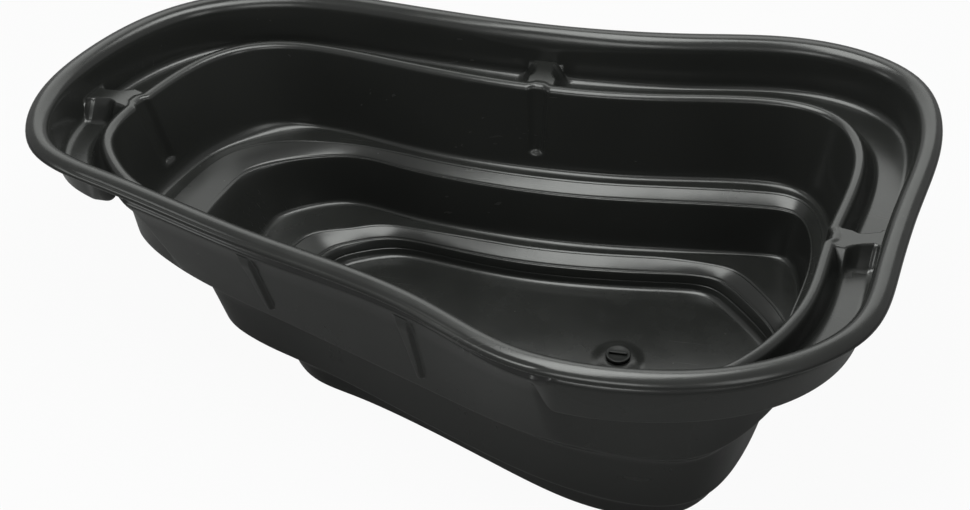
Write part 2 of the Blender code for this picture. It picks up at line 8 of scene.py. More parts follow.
import bmesh
import bpy
import numpy as np
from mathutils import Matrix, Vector


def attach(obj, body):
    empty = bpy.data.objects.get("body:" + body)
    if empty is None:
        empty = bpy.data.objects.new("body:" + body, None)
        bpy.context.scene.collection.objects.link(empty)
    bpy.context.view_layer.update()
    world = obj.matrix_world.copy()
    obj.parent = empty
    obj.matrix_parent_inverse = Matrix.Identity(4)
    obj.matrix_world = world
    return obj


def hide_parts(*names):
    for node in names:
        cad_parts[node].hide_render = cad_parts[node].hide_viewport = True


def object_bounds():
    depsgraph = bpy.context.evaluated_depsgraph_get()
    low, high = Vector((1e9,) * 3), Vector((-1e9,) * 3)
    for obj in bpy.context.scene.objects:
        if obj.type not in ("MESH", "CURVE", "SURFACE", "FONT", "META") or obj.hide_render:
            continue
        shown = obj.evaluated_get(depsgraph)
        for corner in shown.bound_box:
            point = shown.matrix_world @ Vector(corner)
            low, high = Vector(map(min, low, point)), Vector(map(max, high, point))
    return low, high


bl_info = {
    "name": "Livestock water trough",
    "version": (1, 0, 0),
    "blender": (4, 5, 0),
    "location": "3D View > Sidebar > Trough",
    "description": "Builds a moulded water trough with a marsh channel, its drain plug and a studio stage",
    "category": "Object",
}

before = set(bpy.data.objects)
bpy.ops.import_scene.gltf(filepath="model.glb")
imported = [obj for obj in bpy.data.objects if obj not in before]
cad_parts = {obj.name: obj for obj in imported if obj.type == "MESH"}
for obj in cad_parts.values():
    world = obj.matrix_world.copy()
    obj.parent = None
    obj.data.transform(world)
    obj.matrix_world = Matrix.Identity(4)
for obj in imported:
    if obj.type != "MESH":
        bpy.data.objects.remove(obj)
CAD_BOX = [[float(value) for value in corner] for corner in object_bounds()]

MM = 0.001

# Drops from level to level, from the top of the rim down to the floor of the basin
RIDGE_DROP = 0.060
CHANNEL_DROP = 0.042
WALL_1_DROP = 0.180
BANK_1_DROP = 0.015
WALL_2_DROP = 0.105
BANK_2_DROP = 0.016
WALL_3_DROP = 0.032

# Outlines seen from above in millimetres, nineteen stations anticlockwise from the right end
RIM = [(765, 0), (808, 262), (770, 414), (596, 508), (340, 492), (70, 476), (-200, 496), (-436, 504),
       (-637, 426), (-779, 230), (-815, 75), (-769, -69), (-623, -149), (-333, -264), (-23, -380),
       (128, -461), (295, -487), (560, -424), (695, -304)]
CHANNEL = [(720, 8), (762, 262), (734, 385), (587, 463), (341, 446), (70, 430), (-198, 450), (-430, 458),
           (-608, 390), (-736, 208), (-763, 76), (-724, -29), (-599, -94), (-314, -218), (-2, -336),
           (139, -430), (293, -461), (547, -394), (657, -279)]
RIDGE = [(628, 0), (668, 225), (640, 324), (532, 378), (300, 356), (70, 346), (-190, 377), (-425, 404),
         (-560, 340), (-645, 195), (-679, 75), (-640, -15), (-570, -80), (-302, -190), (8, -322),
         (166, -392), (308, -408), (487, -356), (578, -225)]
SHELF_1 = [(611, -4), (640, 205), (608, 306), (515, 354), (295, 332), (70, 322), (-180, 347), (-380, 382),
           (-503, 326), (-590, 210), (-630, 70), (-600, -7), (-519, -71), (-274, -188), (33, -325),
           (171, -378), (313, -400), (486, -353), (571, -218)]
EDGE_1 = [(575, -4), (603, 180), (585, 268), (512, 296), (292, 277), (70, 268), (-165, 294), (-310, 314),
          (-447, 258), (-500, 170), (-522, 70), (-498, -25), (-412, -100), (-242, -178), (45, -308),
          (185, -366), (314, -394), (476, -345), (531, -218)]
SHELF_2 = [(566, -4), (595, 172), (577, 260), (510, 287), (290, 265), (70, 257), (-160, 282), (-300, 306),
           (-398, 262), (-441, 185), (-456, 75), (-450, -36), (-382, -103), (-228, -169), (47, -301),
           (187, -360), (315, -390), (472, -343), (525, -217)]
FLOOR = [(541, 0), (537, 84), (470, 164), (408, 209), (288, 202), (70, 192), (-110, 214), (-195, 214),
         (-258, 187), (-302, 135), (-325, 50), (-322, -45), (-281, -119), (-164, -175), (63, -276),
         (205, -342), (318, -371), (453, -323), (503, -207)]

# Stations of the features along those outlines
BRIDGE_STATIONS = (0.0, 5.0, 9.2)
FLUTE_STATIONS = (12.88, 13.83)
CHANNEL_ENDS = (11.66, 15.38)
RIDGE_ENDS = (12.02, 15.38)
WAIST_STATION = 5.0
WAIST_REACH = 0.11

# Fineness of the moulded surface
COLUMN_PITCH = 0.0105
FEATURE_PITCH = 0.0018
FEATURE_REACH = 0.048
FEATURE_FADE = 0.020
END_PITCH = 0.0035
END_REACH = 0.060
SAMPLES = 7600


def length_setting(name, description, default, **more):
    return bpy.props.FloatProperty(name=name, description=description, default=default, unit="LENGTH", **more)


def power_setting(name, description, default):
    return bpy.props.FloatProperty(name=name, description=description, default=default, unit="POWER")


def place_setting(name, description, default):
    return bpy.props.FloatVectorProperty(
        name=name, description=description, default=default, subtype="TRANSLATION", size=3)


def colour_setting(name, description, default):
    return bpy.props.FloatVectorProperty(
        name=name, description=description, default=default, subtype="COLOR", size=len(default),
        min=0.0, max=1.0)


class MouldingSettings(bpy.types.PropertyGroup):
    """Sizes and finish of the moulded basin"""

    wall: length_setting("Wall", "Thickness of the moulded wall", 0.006)
    bead_width: length_setting("Bead width", "Width of the rolled rim seen from above", 0.044)
    bead_crest: length_setting("Bead crest", "Distance of the rim's crest from its outer edge", 0.022)
    bead_drop: length_setting("Bead drop", "Depth of the round on the rim's inner side", 0.024)
    waist_drop: length_setting("Waist drop", "Extra depth of that round at the back of the waist", 0.022)
    lip_drop: length_setting("Lip drop", "Depth of the rim's turned-down lip", 0.0155)
    ridge_width: length_setting("Ridge width", "Width of the ridge between channel and basin", 0.020)
    flute_width: length_setting("Flute width", "Width of the flutes in the basin wall", 0.046)
    flute_end: length_setting("Flute end", "Width of the flutes at their lower end", 0.038)
    flute_depth: length_setting("Flute depth", "Depth of the flutes in the basin wall", 0.008)
    bridge_neck: length_setting("Bridge neck", "Width of a bridge in the middle of the channel", 0.028)
    bridge_head: length_setting("Bridge head", "Width of a bridge at the outer wall", 0.036)
    bridge_foot: length_setting("Bridge foot", "Width of a bridge where it meets the ridge", 0.050)
    colour: colour_setting("Plastic", "Colour of the moulded plastic", (0.0125, 0.0130, 0.0123, 1.0))
    dust_colour: colour_setting(
        "Dust", "Colour of the dust that settles on it", (0.060, 0.062, 0.058, 1.0))


class DrainSettings(bpy.types.PropertyGroup):
    """Sizes and finish of the drain boss, plug and seal"""

    place_x: length_setting("Place along", "Place of the drain along the basin", 0.280)
    place_y: length_setting("Place across", "Place of the drain across the basin", -0.016)
    boss_radius: length_setting("Boss radius", "Radius of the boss at the floor", 0.036)
    boss_rise: length_setting("Boss rise", "Height of the boss over the floor", 0.008)
    hole_radius: length_setting("Hole radius", "Radius of the drain hole", 0.015)
    head_radius: length_setting("Head radius", "Radius of the plug's head", 0.023)
    head_height: length_setting("Head height", "Height of the plug's head", 0.005)
    shank_drop: length_setting("Shank drop", "Depth of the shank under its seat", 0.011)
    grip_length: length_setting("Grip length", "Length of the finger grip", 0.034)
    grip_width: length_setting("Grip width", "Width of the finger grip", 0.007)
    grip_height: length_setting("Grip height", "Height of the finger grip", 0.005)
    seal_radius: length_setting("Seal radius", "Outer radius of the seal", 0.021)
    seal_thickness: length_setting("Seal thickness", "Thickness of the seal", 0.003)
    gap: length_setting("Seat gap", "Gap under and over the seal", 0.0003, precision=5)
    clearance: length_setting("Clearance", "Gap round the shank", 0.0005, precision=5)
    plug_colour: colour_setting("Plug", "Colour of the plug", (0.0075, 0.0080, 0.0075, 1.0))
    seal_colour: colour_setting("Seal", "Colour of the seal", (0.008, 0.008, 0.008, 1.0))


class StageSettings(bpy.types.PropertyGroup):
    """Floor, lights and camera"""

    floor_colour: colour_setting("Floor", "Colour of the studio floor", (0.36, 0.36, 0.36, 1.0))
    light_colour: colour_setting("Light", "Colour of the soft lights", (0.975, 1.0, 0.97))
    key_power: power_setting("Overhead light", "Power of the soft light over the basin", 46.0)
    back_power: power_setting("Back light", "Power of the soft light behind the basin", 50.0)
    front_power: power_setting("Front light", "Power of the soft light in front", 15.0)
    side_power: power_setting("Side lights", "Power of each soft light at the sides", 7.0)
    camera_place: place_setting("Camera", "Place of the camera", (0.508, -2.7155, 2.522))
    camera_target: place_setting("Target", "Point that the camera looks at", (0.072, -0.2415, 0.414))
    lens: bpy.props.FloatProperty(
        name="Lens", description="Focal length of the camera", default=74.4, unit="CAMERA")


# Smooth outlines


def smooth_step(value):
    value = np.clip(value, 0.0, 1.0)
    return value * value * (3.0 - 2.0 * value)


def unit(vectors):
    return vectors / np.linalg.norm(vectors, axis=1)[:, None]


def levels(wall):
    floor = wall
    shelf_2_edge = floor + WALL_3_DROP
    shelf_2 = shelf_2_edge + BANK_2_DROP
    shelf_1_edge = shelf_2 + WALL_2_DROP
    shelf_1 = shelf_1_edge + BANK_1_DROP
    ridge = shelf_1 + WALL_1_DROP
    return {"floor": floor, "shelf_2_edge": shelf_2_edge, "shelf_2": shelf_2, "shelf_1_edge": shelf_1_edge,
            "shelf_1": shelf_1, "ridge": ridge, "channel": ridge - CHANNEL_DROP, "rim": ridge + RIDGE_DROP}


def station_knots():
    points = np.array(RIM, float) * MM
    chords = np.linalg.norm(np.roll(points, -1, axis=0) - points, axis=1)
    return np.concatenate([[0.0], np.cumsum(chords)])


def spline_bends(points, spans):
    """Second derivatives of the closed cubic spline through the points."""
    count = len(points)
    matrix = np.zeros((count, count))
    target = np.zeros((count, 2))
    for i in range(count):
        before = spans[i - 1]
        after = spans[i]
        matrix[i, i - 1] += before
        matrix[i, i] += 2.0 * (before + after)
        matrix[i, (i + 1) % count] += after
        slope_after = (points[(i + 1) % count] - points[i]) / after
        slope_before = (points[i] - points[i - 1]) / before
        target[i] = 6.0 * (slope_after - slope_before)
    return np.linalg.solve(matrix, target)


def outline(control, where):
    """Points of a closed outline at the given places along the station knots."""
    points = np.array(control, float) * MM
    knots = station_knots()
    spans = np.diff(knots)
    bends = spline_bends(points, spans)
    where = np.mod(where, knots[-1])
    first = np.clip(np.searchsorted(knots, where, side="right") - 1, 0, len(points) - 1)
    second = (first + 1) % len(points)
    span = spans[first][:, None]
    right = (where - knots[first])[:, None] / span
    left = 1.0 - right
    curve = ((left ** 3 - left) * bends[first] + (right ** 3 - right) * bends[second]) * span ** 2 / 6.0
    return left * points[first] + right * points[second] + curve


def normals_at(control, where):
    """Inward normals of an outline at the given places."""
    fine = np.linspace(0.0, station_knots()[-1], SAMPLES, endpoint=False)
    points = outline(control, fine)
    along = np.roll(points, -1, axis=0) - np.roll(points, 1, axis=0)
    along /= np.linalg.norm(along, axis=1)[:, None]
    normals = np.stack([-along[:, 1], along[:, 0]], axis=1)
    wrapped = np.concatenate([fine, [station_knots()[-1]]])
    columns = [np.interp(where, wrapped, np.append(normals[:, axis], normals[0, axis])) for axis in (0, 1)]
    return unit(np.stack(columns, axis=1))


class Ring:
    """Distance along the ridge line, which places the columns and the features."""

    def __init__(self):
        self.where = np.linspace(0.0, station_knots()[-1], SAMPLES + 1)
        points = outline(RIDGE, self.where)
        steps = np.linalg.norm(np.diff(points, axis=0), axis=1)
        self.length_at = np.concatenate([[0.0], np.cumsum(steps)])
        self.length = self.length_at[-1]

    def distance(self, station):
        knots = station_knots()
        place = np.interp(station, np.arange(len(knots)), knots)
        return float(np.interp(place, self.where, self.length_at))

    def place(self, distance):
        return np.interp(np.mod(distance, self.length), self.length_at, self.where)

    def offset(self, distance, station):
        """Signed distance from a station, the short way round."""
        half = self.length / 2.0
        return np.mod(distance - self.distance(station) + half, self.length) - half

    def columns(self):
        """Places of the columns, close together at the features."""
        along = self.length_at
        density = np.full_like(along, 1.0 / COLUMN_PITCH)
        for station in BRIDGE_STATIONS + FLUTE_STATIONS:
            near = (FEATURE_REACH - np.abs(self.offset(along, station))) / FEATURE_FADE
            density = np.maximum(density, smooth_step(near) / FEATURE_PITCH)
        for station in CHANNEL_ENDS + RIDGE_ENDS:
            near = (END_REACH - np.abs(self.offset(along, station))) / FEATURE_FADE
            density = np.maximum(density, smooth_step(near) / END_PITCH)
        steps = np.diff(along) * (density[1:] + density[:-1]) / 2.0
        share = np.concatenate([[0.0], np.cumsum(steps)])
        count = int(round(share[-1]))
        return np.interp(np.arange(count) * share[-1] / count, share, along)


# Section of the moulding, from the edge of the lip to the floor

CHANNEL_FOOT_ROUND = 0.014
OUTER_FOOT_ROUND = 0.005
RIDGE_ROUND = 0.0095
RIDGE_OUTER_RUN = 0.022
RIDGE_FOOT_ROUND = 0.010
CHANNEL_END_RUNS = (0.030, 0.050)
RECESS_PART = 0.20
SHOULDER_PART = 0.34
SHOULDER_ROUND = 0.009
SHOULDER_BULGE = 0.013
BULGE_START = -0.5
BULGE_RUN = 0.6
LIP_ROUND = 0.0015
LIP_THICKNESS = 0.0055
LIP_EDGE_DROP = 0.002
LIP_EDGE_BULGE = 0.7
HOLLOW_LIP_RUN = 0.0085
HOLLOW_LIP_DROP = 0.0105
HOLLOW_LIP_ROUND = 0.004
HOLLOW_CREST_DROP = 0.0062
HOLLOW_CREST_ROUND = 0.006
HOLLOW_INNER_DROP = 0.0090
HOLLOW_INNER_ROUND = 0.010
RECESS_ROUND = 0.004
LIP_GROOVE = 0.0026
LIP_GROOVE_TURN = 42.0
LIP_GROOVE_REACH = 9.0
COLLAR_RUN = 0.007
COLLAR_DROP = 0.070
COLLAR_RECESS_PART = 0.84
COLLAR_PARTS = (0.0, 0.05, 0.11, 0.20)
WEB_RISE = 0.038
RIB_TOP = 0.068
RIB_RAMP = 0.034
RIB_WIDTH = 0.022
RIB_END = 0.006
BANK_CROWN = 0.0012
BANK_ROUND = 0.010
OUTER_EDGE_ROUND = 0.0035
LEDGE_PART = 0.93
LEDGE_RUN = 0.007
LEDGE_ROUND = 0.004
SHELF_ROUND = 0.010
EDGE_ROUND = 0.009
FLOOR_ROUND = 0.010
SHELF_FLAT = 0.44
BANK_WIDTH = 0.031
BANK_CREASE = 0.84
WALL_3_CREASE = 0.45
CREASE_ROUND = 0.001
CREASE_WIDTH = 0.0026
CREASE_DEPTH = 0.0020
TRIM_STATION = 18.55
TRIM_DEPTH = 0.0065
TRIM_REACH = 0.080
SOFT_END = -0.56
SOFT_RUN = 0.22
SOFT_ROUND = 0.026
SOFT_FLAT = 0.30
WALL_3_RUN = 0.12
FLOOR_MARGIN = 0.018
FLUTE_SIDE = 0.007
SOFT_FLUTE_SIDE = 0.017
FLUTE_END_RISE = 0.030
FLUTE_END_FLAT = 1.6
FLUTE_TAPER = 0.13
BRIDGE_HEAD_END = 0.014
BRIDGE_HEAD_FADE = 0.004
BRIDGE_FOOT_RUN = 0.024
BRIDGE_FLARE = 0.75
BRIDGE_HEAD_RUN = 0.022
BRIDGE_SIDE_RUN = 0.024
BRIDGE_SINK = 0.002
EDGE_MINIMUM = 0.001
UNDERSIDE_STEPS = 5
ROUND_LIMIT = 0.47
ROUND_WEIGHT_MINIMUM = 0.04
CHANNEL_OPEN = 0.6

# Angles of the rows on the rim's two rounds, in degrees, and shares of the rows between two corners
ROLL_TURNS = (6.0, 14.0, 21.0, 27.0, 32.0, 37.0, 42.0, 47.0, 52.0, 57.0, 62.0, 68.0, 75.0, 82.0)
BEAD_TURNS = (8.0, 16.0, 24.0, 34.0, 44.0, 54.0, 64.0, 73.0)
BEAD_END_TURN = 82.0
WALL_ROWS = (0.03, 0.12, 0.24, 0.36, 0.46) + tuple(0.52 + 0.02 * i for i in range(23)) + (0.98,)
CHANNEL_ROWS = 24
LIP_EDGE_ROWS = (0.8, 0.6, 0.4, 0.2)

CHANNEL_CORNERS = ("foot", "inner_foot", "ridge_out", "ridge_in")
MAIN_CORNERS = ("lip", "bead") + CHANNEL_CORNERS + (
    "base_1", "lip_1", "base_2", "lip_2", "floor", "margin")


class Key:
    """A corner of the section: points, round, steps, rows up to the next corner and flute share."""

    def __init__(self, points, radius=0.0, steps=0, after=(), push=0.0, name=""):
        self.points = points
        self.radius = radius
        self.steps = steps
        self.after = after
        self.push = push
        self.name = name


def places(keys):
    """Number of each named corner in a list of corners."""
    return {key.name: i for i, key in enumerate(keys) if key.name}


def even(count):
    return tuple((i + 1.0) / (count + 1.0) for i in range(count))


def with_height(points, height):
    return np.column_stack([points, np.broadcast_to(height, len(points))])


def channel_share(ring, distance, ends):
    """One along the marsh channel and nought along the front, where it is left out."""
    left_end = ring.offset(distance, ends[0])
    front_end = ring.offset(distance, ends[1])
    middle = ring.distance(sum(ends) / 2.0)
    reach_left = abs(middle - ring.distance(ends[0]))
    reach_front = abs(middle - ring.distance(ends[1]))
    near_left = np.abs(distance - ring.distance(ends[0])) < reach_left
    near_front = np.abs(distance - ring.distance(ends[1])) < reach_front
    open_left = smooth_step(0.5 - left_end / CHANNEL_END_RUNS[0])
    open_front = smooth_step(0.5 + front_end / CHANNEL_END_RUNS[1])
    return np.where(near_left, open_left, np.where(near_front, open_front, 1.0))


class RimPlan:
    """The rim's outline and inward direction at every column, for points given by run and drop."""

    def __init__(self, ring, distance, sizes):
        where = ring.place(distance)
        self.inward = normals_at(RIM, where)
        away = ring.offset(distance, TRIM_STATION) / TRIM_REACH
        self.trim = TRIM_DEPTH * np.exp(-away ** 2)[:, None]
        self.outline = outline(RIM, where) + self.inward * self.trim
        self.top = levels(sizes.wall)["rim"]
        self.share = channel_share(ring, distance, CHANNEL_ENDS)[:, None]
        self.ridge_share = channel_share(ring, distance, RIDGE_ENDS)[:, None]
        self.swell = smooth_step((self.outline[:, :1] - BULGE_START) / BULGE_RUN)

    def point(self, run, drop):
        return with_height(self.outline + self.inward * run, self.top - np.reshape(drop, -1))

    def blend(self, open_points, collar_points):
        return self.share * open_points + (1.0 - self.share) * collar_points


def shelf_crispness(points):
    """One along most of the shelves and nought at the narrow end, where they are moulded soft."""
    return smooth_step((points[:, :1] - SOFT_END) / SOFT_RUN)


def bank_top(base, edge):
    """Line where a shelf's flat strip turns down into its sloping bank, which keeps its width."""
    run = edge - base
    length = np.linalg.norm(run, axis=1)[:, None]
    crisp = shelf_crispness(base)
    part = crisp * np.maximum(1.0 - BANK_WIDTH / length, SHELF_FLAT) + (1.0 - crisp) * SOFT_FLAT
    return base + run * part


def crease_keys(first, second, place):
    """Three corners of a shallow groove that runs along a shelf between two lines of corners."""
    along = second - first
    length = np.linalg.norm(along, axis=1)[:, None]
    middle = first + along * place
    step = along / length * CREASE_WIDTH
    dip = np.array([0.0, 0.0, CREASE_DEPTH]) * shelf_crispness(middle)
    return [
        Key(middle - step, CREASE_ROUND, 2),
        Key(middle - dip, CREASE_ROUND, 2),
        Key(middle + step, CREASE_ROUND, 2, after=(0.06, 0.94)),
    ]


def bank_keys(top, lip):
    """A bank that is crowned in the middle, with a groove near its lower edge."""
    crown = top + (lip - top) * BANK_CREASE / 2.0 + np.array([0.0, 0.0, BANK_CROWN])
    return [Key(crown, BANK_ROUND, 6)] + crease_keys(top, lip, BANK_CREASE)


def section_keys(ring, distance, sizes):
    """Corners of the upper side, and the way round the basin at every column."""
    level = levels(sizes.wall)
    where = ring.place(distance)
    plan = RimPlan(ring, distance, sizes)
    ridge = outline(RIDGE, where)
    edge_1 = outline(EDGE_1, where)
    shelf_2 = outline(SHELF_2, where)
    floor = outline(FLOOR, where)
    outward = -normals_at(RIDGE, where)
    floor_in = normals_at(FLOOR, where)
    around = np.column_stack([plan.inward[:, 1], -plan.inward[:, 0], np.zeros(len(where))])
    half_ridge = sizes.ridge_width / 2.0
    waist = np.exp(-(ring.offset(distance, WAIST_STATION) / WAIST_REACH) ** 2)
    drop = sizes.bead_drop + sizes.waist_drop * waist
    inner_run = sizes.bead_width - sizes.bead_crest

    def bead_point(turn):
        """Point of the round on the rim's inner side, a quarter of an ellipse."""
        angle = math.radians(turn)
        return plan.point(sizes.bead_crest + inner_run * math.sin(angle), drop * (1.0 - math.cos(angle)))

    def roll_point(turn):
        """Point of the round on the rim's outer side, from the lip up to the crest."""
        angle = math.radians(turn)
        away = (turn - LIP_GROOVE_TURN) / LIP_GROOVE_REACH
        groove = LIP_GROOVE * math.exp(-away ** 2) * (1.0 - plan.share[:, 0])
        depth = sizes.lip_drop * (1.0 - math.sin(angle)) + groove
        return plan.point(sizes.bead_crest * (1.0 - math.cos(angle)), depth)

    base_1 = with_height(outline(SHELF_1, where), level["shelf_1"])
    web = np.clip(plan.ridge_share - plan.share, 0.0, 1.0)[:, 0]
    collar = plan.point(sizes.bead_width + COLLAR_RUN, COLLAR_DROP - WEB_RISE * web)
    open_points = [
        with_height(outline(CHANNEL, where) + plan.inward * plan.trim, level["channel"]),
        with_height(ridge + outward * (half_ridge + RIDGE_OUTER_RUN), level["channel"]),
        with_height(ridge + outward * half_ridge, level["ridge"]),
        with_height(ridge - outward * half_ridge, level["ridge"]),
    ]
    shares = (plan.share, plan.share, plan.ridge_share, plan.ridge_share)
    foot, inner_foot, ridge_out, ridge_in = [
        share * points + (1.0 - share) * (collar + (base_1 - collar) * part)
        for points, part, share in zip(open_points, COLLAR_PARTS, shares)]
    lip_1 = with_height(edge_1, level["shelf_1_edge"])
    break_1 = bank_top(base_1, with_height(edge_1, level["shelf_1"]))
    base_2 = with_height(shelf_2, level["shelf_2"])
    edge_2 = floor + (shelf_2 - floor) * WALL_3_RUN
    break_2 = bank_top(base_2, with_height(edge_2, level["shelf_2"]))
    lip_2 = with_height(edge_2, level["shelf_2_edge"])
    foot_3 = with_height(floor, level["floor"])
    softness = SOFT_ROUND * (1.0 - shelf_crispness(base_1))[:, 0]
    bead = [Key(bead_point(turn)) for turn in BEAD_TURNS]
    roll = [Key(roll_point(turn)) for turn in ROLL_TURNS]
    margin = with_height(floor + floor_in * FLOOR_MARGIN, level["floor"])
    keys = [
        Key(plan.point(LIP_ROUND, sizes.lip_drop + LIP_EDGE_DROP), name="lip"),
        Key(plan.point(0.0, sizes.lip_drop), LIP_ROUND, 3),
    ] + roll + [Key(plan.point(sizes.bead_crest, 0.0))] + bead + [
        Key(bead_point(BEAD_END_TURN), after=(0.08, 0.5, 0.92), name="bead"),
        Key(foot, CHANNEL_FOOT_ROUND, 6, after=even(CHANNEL_ROWS), name="foot"),
        Key(inner_foot, RIDGE_FOOT_ROUND, 5, after=(0.1, 0.35, 0.65, 0.9), push=1.0, name="inner_foot"),
        Key(ridge_out, RIDGE_ROUND, 5, push=1.0, name="ridge_out"),
        Key(ridge_in, RIDGE_ROUND, 5, after=WALL_ROWS, push=1.0, name="ridge_in"),
        Key(base_1, SHELF_ROUND + softness, 7, after=(0.1, 0.9), name="base_1"),
    ] + crease_keys(base_1, break_1, 1.0) + bank_keys(break_1, lip_1) + [
        Key(lip_1, EDGE_ROUND + softness, 7, after=(0.04, 0.3, 0.6, 0.96), name="lip_1"),
        Key(base_2, SHELF_ROUND, 6, after=(0.1, 0.9), name="base_2"),
    ] + crease_keys(base_2, break_2, 1.0) + bank_keys(break_2, lip_2) + [
        Key(lip_2, EDGE_ROUND, 6, after=(0.06,), name="lip_2"),
    ] + crease_keys(lip_2, foot_3, WALL_3_CREASE) + [
        Key(foot_3, FLOOR_ROUND, 6, name="floor"),
        Key(margin, name="margin"),
    ]
    return keys, around


def underside_keys(ring, distance, keys, around, sizes):
    """Corners of the far side of the wall: the hollow of the rim, a shoulder, then the mitred corners."""
    wall = sizes.wall
    plan = RimPlan(ring, distance, sizes)
    number = places(keys)
    main = [keys[number[name]] for name in MAIN_CORNERS]
    points = [key.points for key in main]
    runs = [unit(second - first) for first, second in zip(points, points[1:])]
    faces = [unit(np.cross(around, run)) for run in runs]
    mitred = []
    for i, key in enumerate(main[2:], 2):
        before = faces[i - 1]
        after = faces[min(i, len(faces) - 1)]
        total = before + after
        bend = np.linalg.norm(after - before, axis=1) / np.linalg.norm(total, axis=1)
        hollow = np.sign(np.sum(runs[min(i, len(runs) - 1)] * before, axis=1))
        mitre = total / (1.0 + np.sum(before * after, axis=1))[:, None]
        cut = np.maximum(np.reshape(key.radius, -1) + wall * bend * hollow, EDGE_MINIMUM)
        steps = min(key.steps, UNDERSIDE_STEPS)
        mitred.append(Key(key.points - mitre * wall, cut, steps, key.after, key.push, key.name))
    inward = with_height(plan.inward, 0.0)
    shoulder_round = plan.blend(SHOULDER_ROUND, LEDGE_ROUND)
    corner = plan.point(sizes.bead_width - wall, wall)
    face = mitred[0].points - corner
    recess = corner + face * plan.blend(RECESS_PART, COLLAR_RECESS_PART)
    bulge = plan.blend(plan.swell * SHOULDER_BULGE, LEDGE_RUN)
    shoulder = corner + face * plan.blend(SHOULDER_PART, LEDGE_PART) - inward * bulge
    for i, key in enumerate(mitred[:len(CHANNEL_CORNERS)]):
        fade = 1.0 - i / len(CHANNEL_CORNERS)
        key.points = key.points - inward * (1.0 - plan.share) * LEDGE_RUN * fade
    mitred[0].radius = OUTER_FOOT_ROUND
    under = places(mitred)
    for name in ("base_1", "base_2", "floor"):
        mitred[under[name]].radius = OUTER_EDGE_ROUND
    hollow_rim = [
        Key(plan.point(LIP_THICKNESS, sizes.lip_drop + LIP_EDGE_DROP)),
        Key(plan.point(HOLLOW_LIP_RUN, HOLLOW_LIP_DROP), HOLLOW_LIP_ROUND, 3),
        Key(plan.point(sizes.bead_crest, HOLLOW_CREST_DROP), HOLLOW_CREST_ROUND, 3),
        Key(plan.point(sizes.bead_width - wall, HOLLOW_INNER_DROP), HOLLOW_INNER_ROUND, 4),
        Key(recess, RECESS_ROUND, 3),
        Key(shoulder, shoulder_round, 5),
    ]
    return hollow_rim + mitred


def rounded_rows(keys):
    """Rows along the section as (points, corner, flute share), with each corner turned on an arc."""
    starts = []
    ends = []
    for i, key in enumerate(keys):
        if key.steps == 0:
            starts.append(key.points)
            ends.append(key.points)
            continue
        before = keys[i - 1].points - key.points
        after = keys[i + 1].points - key.points
        length_before = np.linalg.norm(before, axis=1)[:, None]
        length_after = np.linalg.norm(after, axis=1)[:, None]
        radius = np.reshape(key.radius, (-1, 1))
        starts.append(key.points + before / length_before * np.minimum(radius, ROUND_LIMIT * length_before))
        ends.append(key.points + after / length_after * np.minimum(radius, ROUND_LIMIT * length_after))
    rows = []
    for i, key in enumerate(keys):
        push = np.broadcast_to(key.push, len(key.points))
        if key.steps == 0:
            rows.append((key.points.copy(), i, push))
        else:
            run_in = unit(key.points - keys[i - 1].points)
            run_out = unit(keys[i + 1].points - key.points)
            turn = np.sum(run_in * run_out, axis=1)
            weight = np.sqrt(np.clip((1.0 + turn) / 2.0, ROUND_WEIGHT_MINIMUM, 1.0))[:, None]
            for step in range(key.steps + 1):
                part = step / key.steps
                shares = [(1.0 - part) ** 2, 2.0 * part * (1.0 - part) * weight, part ** 2]
                total = shares[0] + shares[1] + shares[2]
                on_arc = shares[0] * starts[i] + shares[1] * key.points + shares[2] * ends[i]
                rows.append((on_arc / total, i, push))
        for part in key.after:
            following = np.broadcast_to(keys[i + 1].push, len(key.points))
            between = ends[i] + (starts[i + 1] - ends[i]) * part
            rows.append((between, i + 0.5, push + (following - push) * part))
    return rows


def flute_amount(ring, distance, height, sizes, wall):
    """How far into a flute each point is, from nought to one; a flute narrows downwards to a round end."""
    amount = np.zeros_like(distance)
    for station in BRIDGE_STATIONS + FLUTE_STATIONS:
        behind = station in BRIDGE_STATIONS
        wide = (sizes.flute_width if behind else RIB_WIDTH) / 2.0 + wall
        narrow = (sizes.flute_end if behind else RIB_END) / 2.0 + wall
        half = narrow + (wide - narrow) * np.clip(height / FLUTE_TAPER, 0.0, 1.0)
        away = np.abs(ring.offset(distance, station))
        side = SOFT_FLUTE_SIDE if behind else FLUTE_SIDE
        inside = half - np.hypot(away, np.maximum(narrow - height * FLUTE_END_FLAT, 0.0))
        amount = np.maximum(amount, smooth_step(inside / side))
    return amount


def bridge_amount(ring, distance, across, width, sizes, wall):
    """Share of a bridge's full height at each point; across runs from the outer wall to the ridge."""
    amount = np.zeros_like(distance)
    run = across * width
    left = (1.0 - across) * width
    head = smooth_step((BRIDGE_HEAD_END - run) / BRIDGE_HEAD_FADE)
    foot = np.clip((BRIDGE_FOOT_RUN - left) / BRIDGE_FOOT_RUN, 0.0, 1.0) ** 2.0
    neck = sizes.bridge_neck / 2.0
    half = neck + (sizes.bridge_head / 2.0 - neck) * head
    half = half + (sizes.bridge_foot / 2.0 - neck) * foot * (1.0 - head)
    side = BRIDGE_SIDE_RUN + (BRIDGE_HEAD_RUN - BRIDGE_SIDE_RUN) * head
    for station in BRIDGE_STATIONS:
        inside = (half + side - wall - np.abs(ring.offset(distance, station))) / side
        slope = BRIDGE_FLARE * np.clip(inside, 0.0, 1.0) + (1.0 - BRIDGE_FLARE) * smooth_step(inside)
        amount = np.maximum(amount, slope)
    return amount


